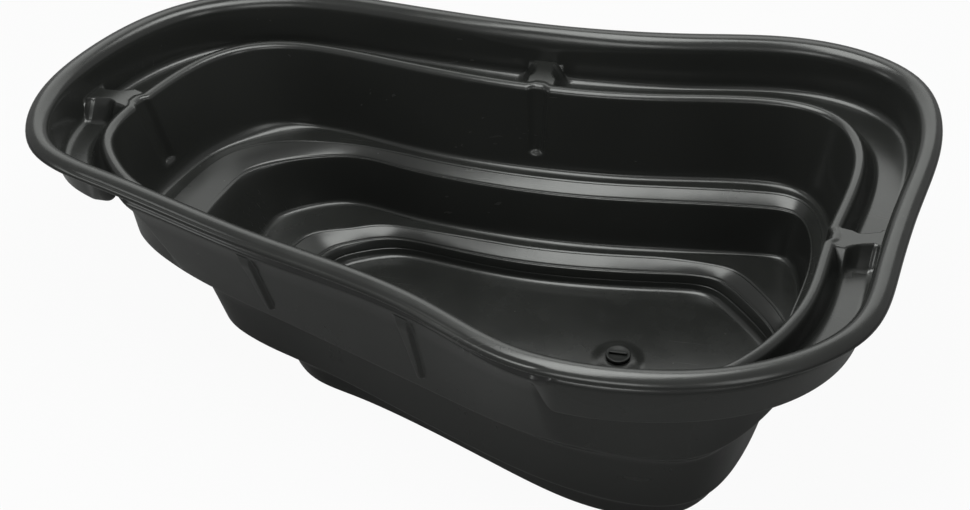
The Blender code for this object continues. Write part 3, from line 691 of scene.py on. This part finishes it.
def shape_features(ring, distance, keys, outward, sizes, wall):
    """Rows of one side of the wall, with the flutes pushed out and the bridges lifted."""
    level = levels(sizes.wall)
    rows = rounded_rows(keys)
    corners = places(keys)
    foot = keys[corners["foot"]].points
    across = keys[corners["inner_foot"]].points - foot
    width = np.linalg.norm(across[:, :2], axis=1)
    open_channel = channel_share(ring, distance, CHANNEL_ENDS) > CHANNEL_OPEN
    ridge_share = channel_share(ring, distance, RIDGE_ENDS)
    shaped = []
    for points, corner, push in rows:
        height = points[:, 2] - level["shelf_1"] - FLUTE_END_RISE + wall
        if corner > corners["ridge_in"]:
            push = np.full_like(distance, float(corner < corners["ridge_in"] + 1))
        ramp = smooth_step((level["rim"] - RIB_TOP - points[:, 2]) / RIB_RAMP)
        push = push * (ridge_share + (1.0 - ridge_share) * ramp)
        amount = flute_amount(ring, distance, height, sizes, wall) * push * sizes.flute_depth
        points = points + np.column_stack([outward * amount[:, None], np.zeros(len(amount))])
        if corners["foot"] <= corner <= corners["ridge_out"]:
            part = np.sum((points - foot)[:, :2] * across[:, :2], axis=1) / width ** 2
            rise = bridge_amount(ring, distance, np.clip(part, 0.0, 1.0), width, sizes, wall)
            full = CHANNEL_DROP - BRIDGE_SINK
            lifted = np.maximum(points[:, 2], level["channel"] - wall + full * rise)
            points[:, 2] = np.where(open_channel & (rise > 0.0), lifted, points[:, 2])
        shaped.append(points)
    return shaped


def lip_edge_rows(upper, lower):
    """Rows that turn the lower edge of the lip from its inner to its outer side."""
    middle = (upper[0] + lower[0]) / 2.0
    half = (upper[0] - lower[0]) / 2.0
    down = np.array([0.0, 0.0, -1.0]) * np.linalg.norm(half, axis=1)[:, None] * LIP_EDGE_BULGE
    turns = [math.pi * part for part in LIP_EDGE_ROWS]
    return [middle + half * math.cos(turn) + down * math.sin(turn) for turn in turns]


BOSS_APRON_EDGE = 0.020
BOSS_APRON = 0.016
BOSS_SLOPE = 0.026
BOSS_SLOPE_ROWS = 9
BOSS_TOP_INSET = 0.010
HOLE_MARGIN = 0.004
HOLE_EDGE = 0.001
HOLE_BEVEL = 0.0003
UNDER_TOP_INSET = 0.011
UNDER_FOOT_INSET = 0.004
UNDER_APRON = 0.012
FLOOR_RINGS = 7
BASE_RINGS = 2


def drain_rings(turns, sizes, drain):
    """Rings of the boss from its foot over its top and down the hole, then below it out to the floor."""
    floor = sizes.wall
    high = floor + drain.boss_rise
    foot = drain.boss_radius
    hole = drain.hole_radius
    slope = [(foot + BOSS_APRON - BOSS_SLOPE * part, floor + drain.boss_rise * smooth_step(part))
             for part in even(BOSS_SLOPE_ROWS)]
    above = [(foot + BOSS_APRON_EDGE, floor), (foot + BOSS_APRON, floor)] + slope + [
        (foot - BOSS_TOP_INSET, high), (hole + HOLE_MARGIN, high), (hole + HOLE_EDGE, high),
        (hole + HOLE_BEVEL, high - HOLE_BEVEL), (hole, high - HOLE_EDGE)]
    below = [(hole, drain.boss_rise), (foot - UNDER_TOP_INSET, drain.boss_rise),
             (foot - UNDER_FOOT_INSET, 0.0), (foot + UNDER_APRON, 0.0)]
    circle = np.stack([np.cos(turns), np.sin(turns)], axis=1)
    centre = np.array([drain.place_x, drain.place_y])
    return [[with_height(centre + circle * radius, height) for radius, height in part]
            for part in (above, below)]


def basin_rows(sizes, drain):
    """All rings of the basin: floor below, underside, edge of the lip, upper side, floor, boss and hole."""
    ring = Ring()
    distance = ring.columns()
    keys, around = section_keys(ring, distance, sizes)
    outward = -normals_at(RIDGE, ring.place(distance))
    under = underside_keys(ring, distance, keys, around, sizes)
    upper = shape_features(ring, distance, keys, outward, sizes, 0.0)
    lower = shape_features(ring, distance, under, outward, sizes, sizes.wall)
    rows = lower[::-1] + lip_edge_rows(upper, lower) + upper
    low = np.min([row.min(axis=0) for row in rows], axis=0)[:2]
    high = np.max([row.max(axis=0) for row in rows], axis=0)[:2]
    cad_low = np.array(CAD_BOX[0])[:2]
    cad_high = np.array(CAD_BOX[1])[:2]
    scale = (cad_high - cad_low) / (high - low)
    for row in rows:
        row[:, :2] = (row[:, :2] - (low + high) / 2.0) * scale + (cad_low + cad_high) / 2.0
    edge = rows[-1]
    turns = np.unwrap(np.arctan2(edge[:, 1] - drain.place_y, edge[:, 0] - drain.place_x))
    above, below = drain_rings(turns, sizes, drain)
    floor = [edge + (above[0] - edge) * part for part in even(FLOOR_RINGS)]
    base = [below[-1] + (rows[0] - below[-1]) * part for part in even(BASE_RINGS)]
    return below + base + rows + floor + above


WELD_GAP = 1e-6


def mesh_of_rings(name, rows, closed):
    """A mesh of four-sided faces between rings of equal counts; a closed one joins last to first."""
    count = len(rows[0])
    points = np.concatenate(rows)
    if not np.isfinite(points).all():
        raise RuntimeError("The rings of %s hold points that are not numbers" % name)
    index = np.arange(count)
    following = (index + 1) % count
    faces = []
    pairs = [(i, i + 1) for i in range(len(rows) - 1)]
    if closed:
        pairs.append((len(rows) - 1, 0))
    for first, second in pairs:
        faces.append(np.stack([first * count + index, first * count + following,
                               second * count + following, second * count + index], axis=1))
    mesh = bpy.data.meshes.new(name)
    mesh.from_pydata(points.tolist(), [], np.concatenate(faces).tolist())
    mesh.validate()
    model = bmesh.new()
    model.from_mesh(mesh)
    bmesh.ops.remove_doubles(model, verts=model.verts, dist=WELD_GAP)
    bmesh.ops.recalc_face_normals(model, faces=model.faces)
    for face in model.faces:
        face.smooth = True
    model.to_mesh(mesh)
    model.free()
    return mesh


def place_piece(name, mesh, material, body, node):
    """Add a piece to the scene on its body, in place of its CAD node."""
    piece = bpy.data.objects.new(name, mesh)
    bpy.context.scene.collection.objects.link(piece)
    mesh.materials.clear()
    mesh.materials.append(material)
    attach(piece, body)
    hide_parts(node)


# Node groups shared by the materials

WAVE_HEIGHT = 0.0016
RIPPLE_HEIGHT = 0.00022
GRAIN_HEIGHT = 0.000018
SCUFF_LINES = (((0.2, 0.1, 0.5), (3.0, 260.0, 40.0)), ((0.1, 0.3, 2.0), (4.0, 330.0, 50.0)))
SPECK_SCALE = 55.0
SPECK_SHARE = 0.93
SPECK_STRENGTH = 0.55
SCUFF_DEPTH = 0.00003
SCUFF_PALE = 0.35
SCUFF_ROUGH = 0.16
DUST_ROUGH = 0.35
BASIN_SPECULAR = 0.34
BASIN_ROUGHNESS = (0.20, 0.27)
PLUG_SPECULAR = 0.25
PLUG_ROUGHNESS = 0.5
PLUG_DUST_ROUGH = 0.3
SEAL_SPECULAR = 0.3
SEAL_ROUGHNESS = (0.62, 0.8)
SEAL_GRAIN_HEIGHT = 0.00003


def start_group(name, inputs, outputs):
    """A new shader group with float inputs as (name, value) and outputs as (name, kind)."""
    group = bpy.data.node_groups.new(name, "ShaderNodeTree")
    for label, value in inputs:
        socket = group.interface.new_socket(label, in_out="INPUT", socket_type="NodeSocketFloat")
        socket.default_value = value
    for label, kind in outputs:
        group.interface.new_socket(label, in_out="OUTPUT", socket_type=kind)
    source = group.nodes.new("NodeGroupInput")
    result = group.nodes.new("NodeGroupOutput")
    return group, source, result


def add_node(tree, kind, **settings):
    node = tree.nodes.new(kind)
    for key, value in settings.items():
        setattr(node, key, value)
    return node


def math_node(tree, operation, first, second):
    """A Math node whose operands are sockets or numbers."""
    node = add_node(tree, "ShaderNodeMath", operation=operation)
    for socket, value in zip(node.inputs, (first, second)):
        if isinstance(value, (int, float)):
            socket.default_value = value
        else:
            tree.links.new(value, socket)
    return node.outputs[0]


def noise_node(tree, vector, scale, detail, rough=0.5):
    node = add_node(tree, "ShaderNodeTexNoise")
    node.inputs["Scale"].default_value = scale
    node.inputs["Detail"].default_value = detail
    node.inputs["Roughness"].default_value = rough
    tree.links.new(vector, node.inputs["Vector"])
    return node.outputs[0]


def range_node(tree, value, low, high, to_low=0.0, to_high=1.0):
    node = add_node(tree, "ShaderNodeMapRange", interpolation_type="SMOOTHSTEP")
    tree.links.new(value, node.inputs["Value"])
    node.inputs["From Min"].default_value = low
    node.inputs["From Max"].default_value = high
    node.inputs["To Min"].default_value = to_low
    node.inputs["To Max"].default_value = to_high
    return node.outputs["Result"]


def stretched(tree, scale=(1.0, 1.0, 1.0), turn=(0.0, 0.0, 0.0)):
    """Object coordinates, turned and stretched."""
    coordinates = add_node(tree, "ShaderNodeTexCoord")
    mapping = add_node(tree, "ShaderNodeMapping")
    mapping.inputs["Scale"].default_value = scale
    mapping.inputs["Rotation"].default_value = turn
    tree.links.new(coordinates.outputs["Object"], mapping.inputs["Vector"])
    return mapping.outputs["Vector"]


def mould_skin_group():
    """Height of the mould's waviness and of the fine grain of the plastic."""
    group, source, result = start_group("mould_skin", [("Grain", 1.0)], [("Height", "NodeSocketFloat")])
    plain = stretched(group)
    wave = noise_node(group, plain, 5.0, 1.5)
    ripple = noise_node(group, plain, 22.0, 2.0)
    grain = noise_node(group, plain, 900.0, 2.0)
    low = math_node(group, "MULTIPLY", wave, WAVE_HEIGHT)
    middle = math_node(group, "MULTIPLY", ripple, RIPPLE_HEIGHT)
    fine = math_node(group, "MULTIPLY", grain, GRAIN_HEIGHT)
    fine = math_node(group, "MULTIPLY", fine, source.outputs["Grain"])
    total = math_node(group, "ADD", math_node(group, "ADD", low, middle), fine)
    group.links.new(total, result.inputs["Height"])
    return group


def scuff_group():
    """Mask of thin scratches from handling and stacking, in two directions."""
    group, source, result = start_group("scuffs", [("Amount", 0.5)], [("Mask", "NodeSocketFloat")])
    lines = []
    for turn, scale in SCUFF_LINES:
        noise = noise_node(group, stretched(group, scale, turn), 1.0, 2.0, 0.6)
        lines.append(range_node(group, noise, 0.66, 0.74))
    patch = noise_node(group, stretched(group), 4.0, 3.0)
    where = range_node(group, patch, 0.48, 0.66)
    both = math_node(group, "MAXIMUM", lines[0], lines[1])
    mask = math_node(group, "MULTIPLY", math_node(group, "MULTIPLY", both, where), source.outputs["Amount"])
    group.links.new(mask, result.inputs["Mask"])
    return group


def dust_group():
    """Mask of dust that settles on level faces, thin and blotchy, with single specks."""
    group, source, result = start_group("settled_dust", [("Amount", 0.5)], [("Mask", "NodeSocketFloat")])
    geometry = add_node(group, "ShaderNodeNewGeometry")
    parts = add_node(group, "ShaderNodeSeparateXYZ")
    group.links.new(geometry.outputs["Normal"], parts.inputs["Vector"])
    level_face = range_node(group, parts.outputs["Z"], 0.55, 0.98)
    plain = stretched(group)
    blotch = range_node(group, noise_node(group, plain, 9.0, 5.0, 0.62), 0.35, 0.75)
    film = math_node(group, "MULTIPLY", level_face, blotch)
    film = math_node(group, "MULTIPLY", film, source.outputs["Amount"])
    cells = add_node(group, "ShaderNodeTexVoronoi", feature="F1")
    cells.inputs["Scale"].default_value = SPECK_SCALE
    group.links.new(plain, cells.inputs["Vector"])
    speck = range_node(group, cells.outputs["Distance"], 0.075, 0.045)
    chosen = add_node(group, "ShaderNodeSeparateColor")
    group.links.new(cells.outputs["Color"], chosen.inputs["Color"])
    rare = math_node(group, "GREATER_THAN", chosen.outputs[0], SPECK_SHARE)
    speck = math_node(group, "MULTIPLY", math_node(group, "MULTIPLY", speck, rare), level_face)
    mask = math_node(group, "MAXIMUM", film, math_node(group, "MULTIPLY", speck, SPECK_STRENGTH))
    group.links.new(mask, result.inputs["Mask"])
    return group


def use_group(tree, name, maker, **values):
    """Place a shared group in a material, making it the first time."""
    node = add_node(tree, "ShaderNodeGroup")
    node.node_tree = bpy.data.node_groups.get(name) or maker()
    for key, value in values.items():
        node.inputs[key].default_value = value
    return node.outputs[0]


def start_material(name):
    material = bpy.data.materials.new(name)
    material.use_nodes = True
    tree = material.node_tree
    return material, tree, tree.nodes["Principled BSDF"]


def colour_mix(tree, factor, first, second):
    node = add_node(tree, "ShaderNodeMix", data_type="RGBA")
    tree.links.new(factor, node.inputs["Factor"])
    for socket, value in ((node.inputs["A"], first), (node.inputs["B"], second)):
        if isinstance(value, bpy.types.NodeSocket):
            tree.links.new(value, socket)
        else:
            socket.default_value = value
    return node.outputs["Result"]


def shaded(colour, factor):
    return (colour[0] * factor, colour[1] * factor, colour[2] * factor, 1.0)


def bump_node(tree, height):
    """A Bump node for a height in metres."""
    node = add_node(tree, "ShaderNodeBump")
    node.inputs["Strength"].default_value = 1.0
    node.inputs["Distance"].default_value = 1.0
    tree.links.new(height, node.inputs["Height"])
    return node.outputs["Normal"]


def basin_material(sizes):
    """Black polyethylene: satin, faintly wavy, scuffed and a little dusty."""
    material, tree, shader = start_material("black_polyethylene")
    shader.inputs["Specular IOR Level"].default_value = BASIN_SPECULAR
    shader.inputs["IOR"].default_value = 1.5
    skin = use_group(tree, "mould_skin", mould_skin_group, Grain=1.0)
    scuffs = use_group(tree, "scuffs", scuff_group, Amount=0.30)
    dust = use_group(tree, "settled_dust", dust_group, Amount=0.08)
    plain = stretched(tree)
    cloud = noise_node(tree, plain, 3.2, 3.0)
    colour = colour_mix(tree, cloud, shaded(sizes.colour, 0.8), shaded(sizes.colour, 1.2))
    pale = math_node(tree, "MULTIPLY", scuffs, SCUFF_PALE)
    colour = colour_mix(tree, pale, colour, shaded(sizes.colour, 4.0))
    colour = colour_mix(tree, dust, colour, tuple(sizes.dust_colour))
    tree.links.new(colour, shader.inputs["Base Color"])
    rough = range_node(tree, noise_node(tree, plain, 7.0, 4.0), 0.3, 0.7, *BASIN_ROUGHNESS)
    rough = math_node(tree, "ADD", rough, math_node(tree, "MULTIPLY", scuffs, SCUFF_ROUGH))
    rough = math_node(tree, "ADD", rough, math_node(tree, "MULTIPLY", dust, DUST_ROUGH))
    tree.links.new(rough, shader.inputs["Roughness"])
    height = math_node(tree, "SUBTRACT", skin, math_node(tree, "MULTIPLY", scuffs, SCUFF_DEPTH))
    tree.links.new(bump_node(tree, height), shader.inputs["Normal"])
    return material


def plug_material(drain):
    """The plug's dull black plastic, worn paler where fingers hold it."""
    material, tree, shader = start_material("plug_plastic")
    shader.inputs["Specular IOR Level"].default_value = PLUG_SPECULAR
    skin = use_group(tree, "mould_skin", mould_skin_group, Grain=2.0)
    scuffs = use_group(tree, "scuffs", scuff_group, Amount=0.5)
    dust = use_group(tree, "settled_dust", dust_group, Amount=0.15)
    colour = colour_mix(tree, scuffs, tuple(drain.plug_colour), shaded(drain.plug_colour, 3.0))
    colour = colour_mix(tree, dust, colour, shaded(drain.plug_colour, 4.0))
    tree.links.new(colour, shader.inputs["Base Color"])
    rough = math_node(tree, "ADD", math_node(tree, "MULTIPLY", dust, PLUG_DUST_ROUGH), PLUG_ROUGHNESS)
    tree.links.new(rough, shader.inputs["Roughness"])
    tree.links.new(bump_node(tree, skin), shader.inputs["Normal"])
    return material


def seal_material(drain):
    """Soft black rubber with a matt, slightly bloomed skin."""
    material, tree, shader = start_material("seal_rubber")
    shader.inputs["Specular IOR Level"].default_value = SEAL_SPECULAR
    plain = stretched(tree)
    bloom = range_node(tree, noise_node(tree, plain, 160.0, 4.0), 0.4, 0.8)
    colour = colour_mix(tree, bloom, tuple(drain.seal_colour), shaded(drain.seal_colour, 3.0))
    tree.links.new(colour, shader.inputs["Base Color"])
    tree.links.new(range_node(tree, bloom, 0.0, 1.0, *SEAL_ROUGHNESS), shader.inputs["Roughness"])
    grain = math_node(tree, "MULTIPLY", noise_node(tree, plain, 1400.0, 2.0), SEAL_GRAIN_HEIGHT)
    tree.links.new(bump_node(tree, grain), shader.inputs["Normal"])
    return material


# Pieces

SEGMENTS = 96
SEAL_BEVEL = 0.0005
AXIS_RADIUS = 0.0005
SHANK_INSET = 0.0025
SHANK_ROUND = 0.0015
THREAD_PITCH = 0.0024
THREAD_DEPTH = 0.0009
THREAD_START = 0.002
THREAD_END = 0.0002
THREAD_PARTS = (0.35, 0.6, 0.95)
HEAD_ROUND = 0.0018
HEAD_UNDER_INSET = 0.0008
HEAD_UNDER_ROUND = 0.0006
DISH_RIM = 0.0045
DISH_FOOT = 0.0055
DISH_DROP = 0.0007
DISH_MIDDLE = 0.006
GRIP_SINK = 0.001
GRIP_ROUND = 0.0018
GRIP_STEPS = 5
SHARP_ANGLE = 40.0


def turned_rows(profile, segments):
    """Rings round Z from (radius, height) points."""
    turns = 2.0 * math.pi * np.arange(segments) / segments
    circle = np.stack([np.cos(turns), np.sin(turns)], axis=1)
    return [with_height(circle * radius, height) for radius, height in profile]


def moved(rows, place):
    return [row + np.array(place) for row in rows]


def arc(centre, radius, start, end, steps):
    """Points of an arc in the (radius, height) plane, angles in degrees."""
    angles = np.radians(np.linspace(start, end, steps + 1))
    return [(centre[0] + radius * math.cos(a), centre[1] + radius * math.sin(a)) for a in angles]


def seat_height(sizes, drain):
    return sizes.wall + drain.boss_rise


class TROUGH_OT_basin(bpy.types.Operator):
    """Build the moulded basin with its rim, channel, bridges, flutes, shelves and drain boss"""

    bl_idname = "trough.basin"
    bl_label = "Basin"

    def execute(self, context):
        sizes = context.scene.trough_moulding
        drain = context.scene.trough_drain
        mesh = mesh_of_rings("basin", basin_rows(sizes, drain), True)
        if not mesh.polygons:
            raise RuntimeError("The basin has no faces")
        place_piece("basin", mesh, basin_material(sizes), "shell", "basin_shell")
        return {"FINISHED"}


class TROUGH_OT_seal(bpy.types.Operator):
    """Build the rubber seal that lies under the plug's head"""

    bl_idname = "trough.seal"
    bl_label = "Drain seal"

    def execute(self, context):
        sizes = context.scene.trough_moulding
        drain = context.scene.trough_drain
        low = drain.gap
        high = low + drain.seal_thickness
        bore = drain.hole_radius + drain.clearance
        edge = drain.seal_thickness / 2.0
        profile = [(bore, high - SEAL_BEVEL), (bore, low + SEAL_BEVEL), (bore + SEAL_BEVEL, low)]
        profile += arc((drain.seal_radius - edge, low + edge), edge, -90.0, 90.0, 8)
        profile += [(bore + SEAL_BEVEL, high)]
        place = (drain.place_x, drain.place_y, seat_height(sizes, drain))
        rows = moved(turned_rows(profile, SEGMENTS), place)
        mesh = mesh_of_rings("seal", rows, True)
        place_piece("seal", mesh, seal_material(drain), "seal", "drain_seal")
        return {"FINISHED"}


class TROUGH_OT_plug(bpy.types.Operator):
    """Build the screw-in drain plug with its finger grip and thread"""

    bl_idname = "trough.plug"
    bl_label = "Drain plug"

    def execute(self, context):
        sizes = context.scene.trough_moulding
        drain = context.scene.trough_drain
        under = drain.gap * 2.0 + drain.seal_thickness
        top = under + drain.head_height
        shank = drain.hole_radius - drain.clearance
        bottom = -drain.shank_drop
        root = shank - THREAD_DEPTH
        head = drain.head_radius
        profile = [(AXIS_RADIUS, bottom), (shank - SHANK_INSET, bottom)]
        profile += arc((shank - SHANK_INSET, bottom + SHANK_ROUND), SHANK_ROUND, -90.0, 0.0, 4)
        low = bottom + THREAD_START
        rise, crest, fall = [THREAD_PITCH * part for part in THREAD_PARTS]
        for turn in range(int((under - low) / THREAD_PITCH)):
            start = low + turn * THREAD_PITCH
            profile += [(root, start), (shank, start + rise), (shank, start + crest), (root, start + fall)]
        profile += [(root, under - THREAD_END), (shank, under), (head - HEAD_UNDER_INSET, under)]
        profile += arc((head - HEAD_UNDER_ROUND, under + HEAD_UNDER_ROUND), HEAD_UNDER_ROUND, -90.0, 0.0, 3)
        profile += arc((head - HEAD_ROUND, top - HEAD_ROUND), HEAD_ROUND, 0.0, 90.0, 6)
        dish = top - DISH_DROP
        profile += [(head - DISH_RIM, top), (head - DISH_FOOT, dish)]
        profile += [(DISH_MIDDLE, dish), (AXIS_RADIUS, dish)]
        mesh = mesh_of_rings("plug", turned_rows(profile, SEGMENTS), False)
        model = bmesh.new()
        model.from_mesh(mesh)
        rims = [edge for edge in model.edges if edge.is_boundary]
        bmesh.ops.holes_fill(model, edges=rims, sides=0)
        grip = bmesh.ops.create_cube(model, size=1.0)["verts"]
        grip_size = (drain.grip_length, drain.grip_width, drain.grip_height + GRIP_SINK)
        bmesh.ops.scale(model, vec=grip_size, verts=grip)
        bmesh.ops.translate(model, vec=(0.0, 0.0, top + (drain.grip_height - GRIP_SINK) / 2.0), verts=grip)
        grip_edges = [edge for edge in model.edges if all(vert in grip for vert in edge.verts)]
        bmesh.ops.bevel(
            model, geom=grip_edges, offset=GRIP_ROUND, segments=GRIP_STEPS, profile=0.5, affect="EDGES")
        for face in model.faces:
            face.smooth = True
        shift = Vector((drain.place_x, drain.place_y, seat_height(sizes, drain)))
        bmesh.ops.translate(model, vec=shift, verts=model.verts)
        bmesh.ops.recalc_face_normals(model, faces=model.faces)
        model.to_mesh(mesh)
        model.free()
        mesh.set_sharp_from_angle(angle=math.radians(SHARP_ANGLE))
        place_piece("plug", mesh, plug_material(drain), "plug", "drain_plug")
        return {"FINISHED"}


# Stage

SEEN_WHITE = 0.95
MIRRORED_WHITE = 0.05
MIRRORED_SKY = 0.55
SKY_LIGHT = 0.18
FLOOR_SIZE = 9.0
FLOOR_GAP = 0.0005
SENSOR_WIDTH = 36.0
LIT_POINT = (0.0, 0.0, 0.3)

# Soft lights: name, place, size and the setting that holds the power
SOFTBOXES = (
    ("overhead_softbox", (0.05, -0.02, 2.0), (1.7, 0.8), "key_power"),
    ("back_softbox", (-0.25, 2.3, 2.1), (4.4, 1.6), "back_power"),
    ("front_softbox", (0.1, -2.3, 1.3), (1.1, 0.7), "front_power"),
    ("left_softbox", (-2.1, -1.1, 0.95), (0.7, 0.8), "side_power"),
    ("right_softbox", (1.5, -1.6, 1.25), (0.6, 1.0), "side_power"),
)


def seen_directly(tree, path):
    """One for rays from the camera, also through glass."""
    return math_node(tree, "MAXIMUM", path.outputs["Is Camera Ray"], path.outputs["Is Transmission Ray"])


def stage_material(stage):
    """Pale floor that stays white to the camera and keeps a faint shadow."""
    material = bpy.data.materials.new("studio_floor")
    material.use_nodes = True
    tree = material.node_tree
    tree.nodes.clear()
    output = add_node(tree, "ShaderNodeOutputMaterial")
    diffuse = add_node(tree, "ShaderNodeBsdfDiffuse")
    diffuse.inputs["Color"].default_value = tuple(stage.floor_colour)
    glow = add_node(tree, "ShaderNodeEmission")
    glow.inputs["Strength"].default_value = 1.0
    path = add_node(tree, "ShaderNodeLightPath")
    seen = seen_directly(tree, path)
    mirrored = math_node(tree, "MULTIPLY", path.outputs["Is Glossy Ray"], MIRRORED_WHITE)
    mix = add_node(tree, "ShaderNodeMixShader")
    white = math_node(tree, "MAXIMUM", math_node(tree, "MULTIPLY", seen, SEEN_WHITE), mirrored)
    tree.links.new(white, mix.inputs["Fac"])
    tree.links.new(diffuse.outputs[0], mix.inputs[1])
    tree.links.new(glow.outputs[0], mix.inputs[2])
    tree.links.new(mix.outputs[0], output.inputs["Surface"])
    return material


def add_area(name, place, size, power):
    light = bpy.data.lights.new(name, "AREA")
    light.shape = "RECTANGLE"
    light.size = size[0]
    light.size_y = size[1]
    light.energy = power
    light.color = bpy.context.scene.trough_stage.light_colour
    lamp = bpy.data.objects.new(name, light)
    bpy.context.scene.collection.objects.link(lamp)
    lamp.location = place
    lamp.rotation_euler = (Vector(LIT_POINT) - Vector(place)).to_track_quat("-Z", "Y").to_euler()


class TROUGH_OT_stage(bpy.types.Operator):
    """Set up the studio floor, the soft lights and the camera"""

    bl_idname = "trough.stage"
    bl_label = "Stage"

    def execute(self, context):
        scene = context.scene
        stage = scene.trough_stage
        scene.view_settings.view_transform = "Standard"
        model = bmesh.new()
        bmesh.ops.create_grid(model, x_segments=1, y_segments=1, size=FLOOR_SIZE)
        mesh = bpy.data.meshes.new("studio_floor")
        model.to_mesh(mesh)
        model.free()
        mesh.materials.append(stage_material(stage))
        floor = bpy.data.objects.new("studio_floor", mesh)
        floor.location = (0.0, 0.0, -FLOOR_GAP)
        scene.collection.objects.link(floor)
        world = bpy.data.worlds.new("studio")
        scene.world = world
        world.use_nodes = True
        tree = world.node_tree
        tree.nodes.clear()
        output = add_node(tree, "ShaderNodeOutputWorld")
        path = add_node(tree, "ShaderNodeLightPath")
        seen = seen_directly(tree, path)
        mirrored = math_node(tree, "MULTIPLY", path.outputs["Is Glossy Ray"], MIRRORED_SKY)
        seen = math_node(tree, "MAXIMUM", seen, mirrored)
        sky = add_node(tree, "ShaderNodeBackground")
        sky.inputs["Color"].default_value = (1.0, 1.0, 1.0, 1.0)
        tree.links.new(math_node(tree, "MAXIMUM", seen, SKY_LIGHT), sky.inputs["Strength"])
        tree.links.new(sky.outputs[0], output.inputs["Surface"])
        for name, place, size, setting in SOFTBOXES:
            add_area(name, place, size, getattr(stage, setting))
        camera_data = bpy.data.cameras.new("camera")
        camera_data.lens = stage.lens
        camera_data.sensor_width = SENSOR_WIDTH
        camera = bpy.data.objects.new("camera", camera_data)
        scene.collection.objects.link(camera)
        camera.location = stage.camera_place
        toward = Vector(stage.camera_target) - Vector(stage.camera_place)
        camera.rotation_euler = toward.to_track_quat("-Z", "Y").to_euler()
        scene.camera = camera
        return {"FINISHED"}


class TROUGH_PT_panel(bpy.types.Panel):
    """Lists the pieces of the trough"""

    bl_idname = "TROUGH_PT_panel"
    bl_label = "Water trough"
    bl_space_type = "VIEW_3D"
    bl_region_type = "UI"
    bl_category = "Trough"

    def draw(self, context):
        for operator in OPERATORS:
            self.layout.operator(operator.bl_idname)
        scene = context.scene
        for settings in (scene.trough_moulding, scene.trough_drain, scene.trough_stage):
            box = self.layout.box()
            for name in settings.bl_rna.properties.keys():
                if name not in ("rna_type", "name"):
                    box.prop(settings, name)


SETTINGS = (MouldingSettings, DrainSettings, StageSettings)
OPERATORS = (TROUGH_OT_basin, TROUGH_OT_seal, TROUGH_OT_plug, TROUGH_OT_stage)


def register():
    for item in SETTINGS + OPERATORS + (TROUGH_PT_panel,):
        bpy.utils.register_class(item)
    bpy.types.Scene.trough_moulding = bpy.props.PointerProperty(type=MouldingSettings)
    bpy.types.Scene.trough_drain = bpy.props.PointerProperty(type=DrainSettings)
    bpy.types.Scene.trough_stage = bpy.props.PointerProperty(type=StageSettings)


def unregister():
    del bpy.types.Scene.trough_stage
    del bpy.types.Scene.trough_drain
    del bpy.types.Scene.trough_moulding
    for item in reversed(SETTINGS + OPERATORS + (TROUGH_PT_panel,)):
        bpy.utils.unregister_class(item)


def main():
    register()
    bpy.ops.trough.basin()
    bpy.ops.trough.seal()
    bpy.ops.trough.plug()
    bpy.ops.trough.stage()
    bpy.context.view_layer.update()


if __name__ == "__main__":
    main()
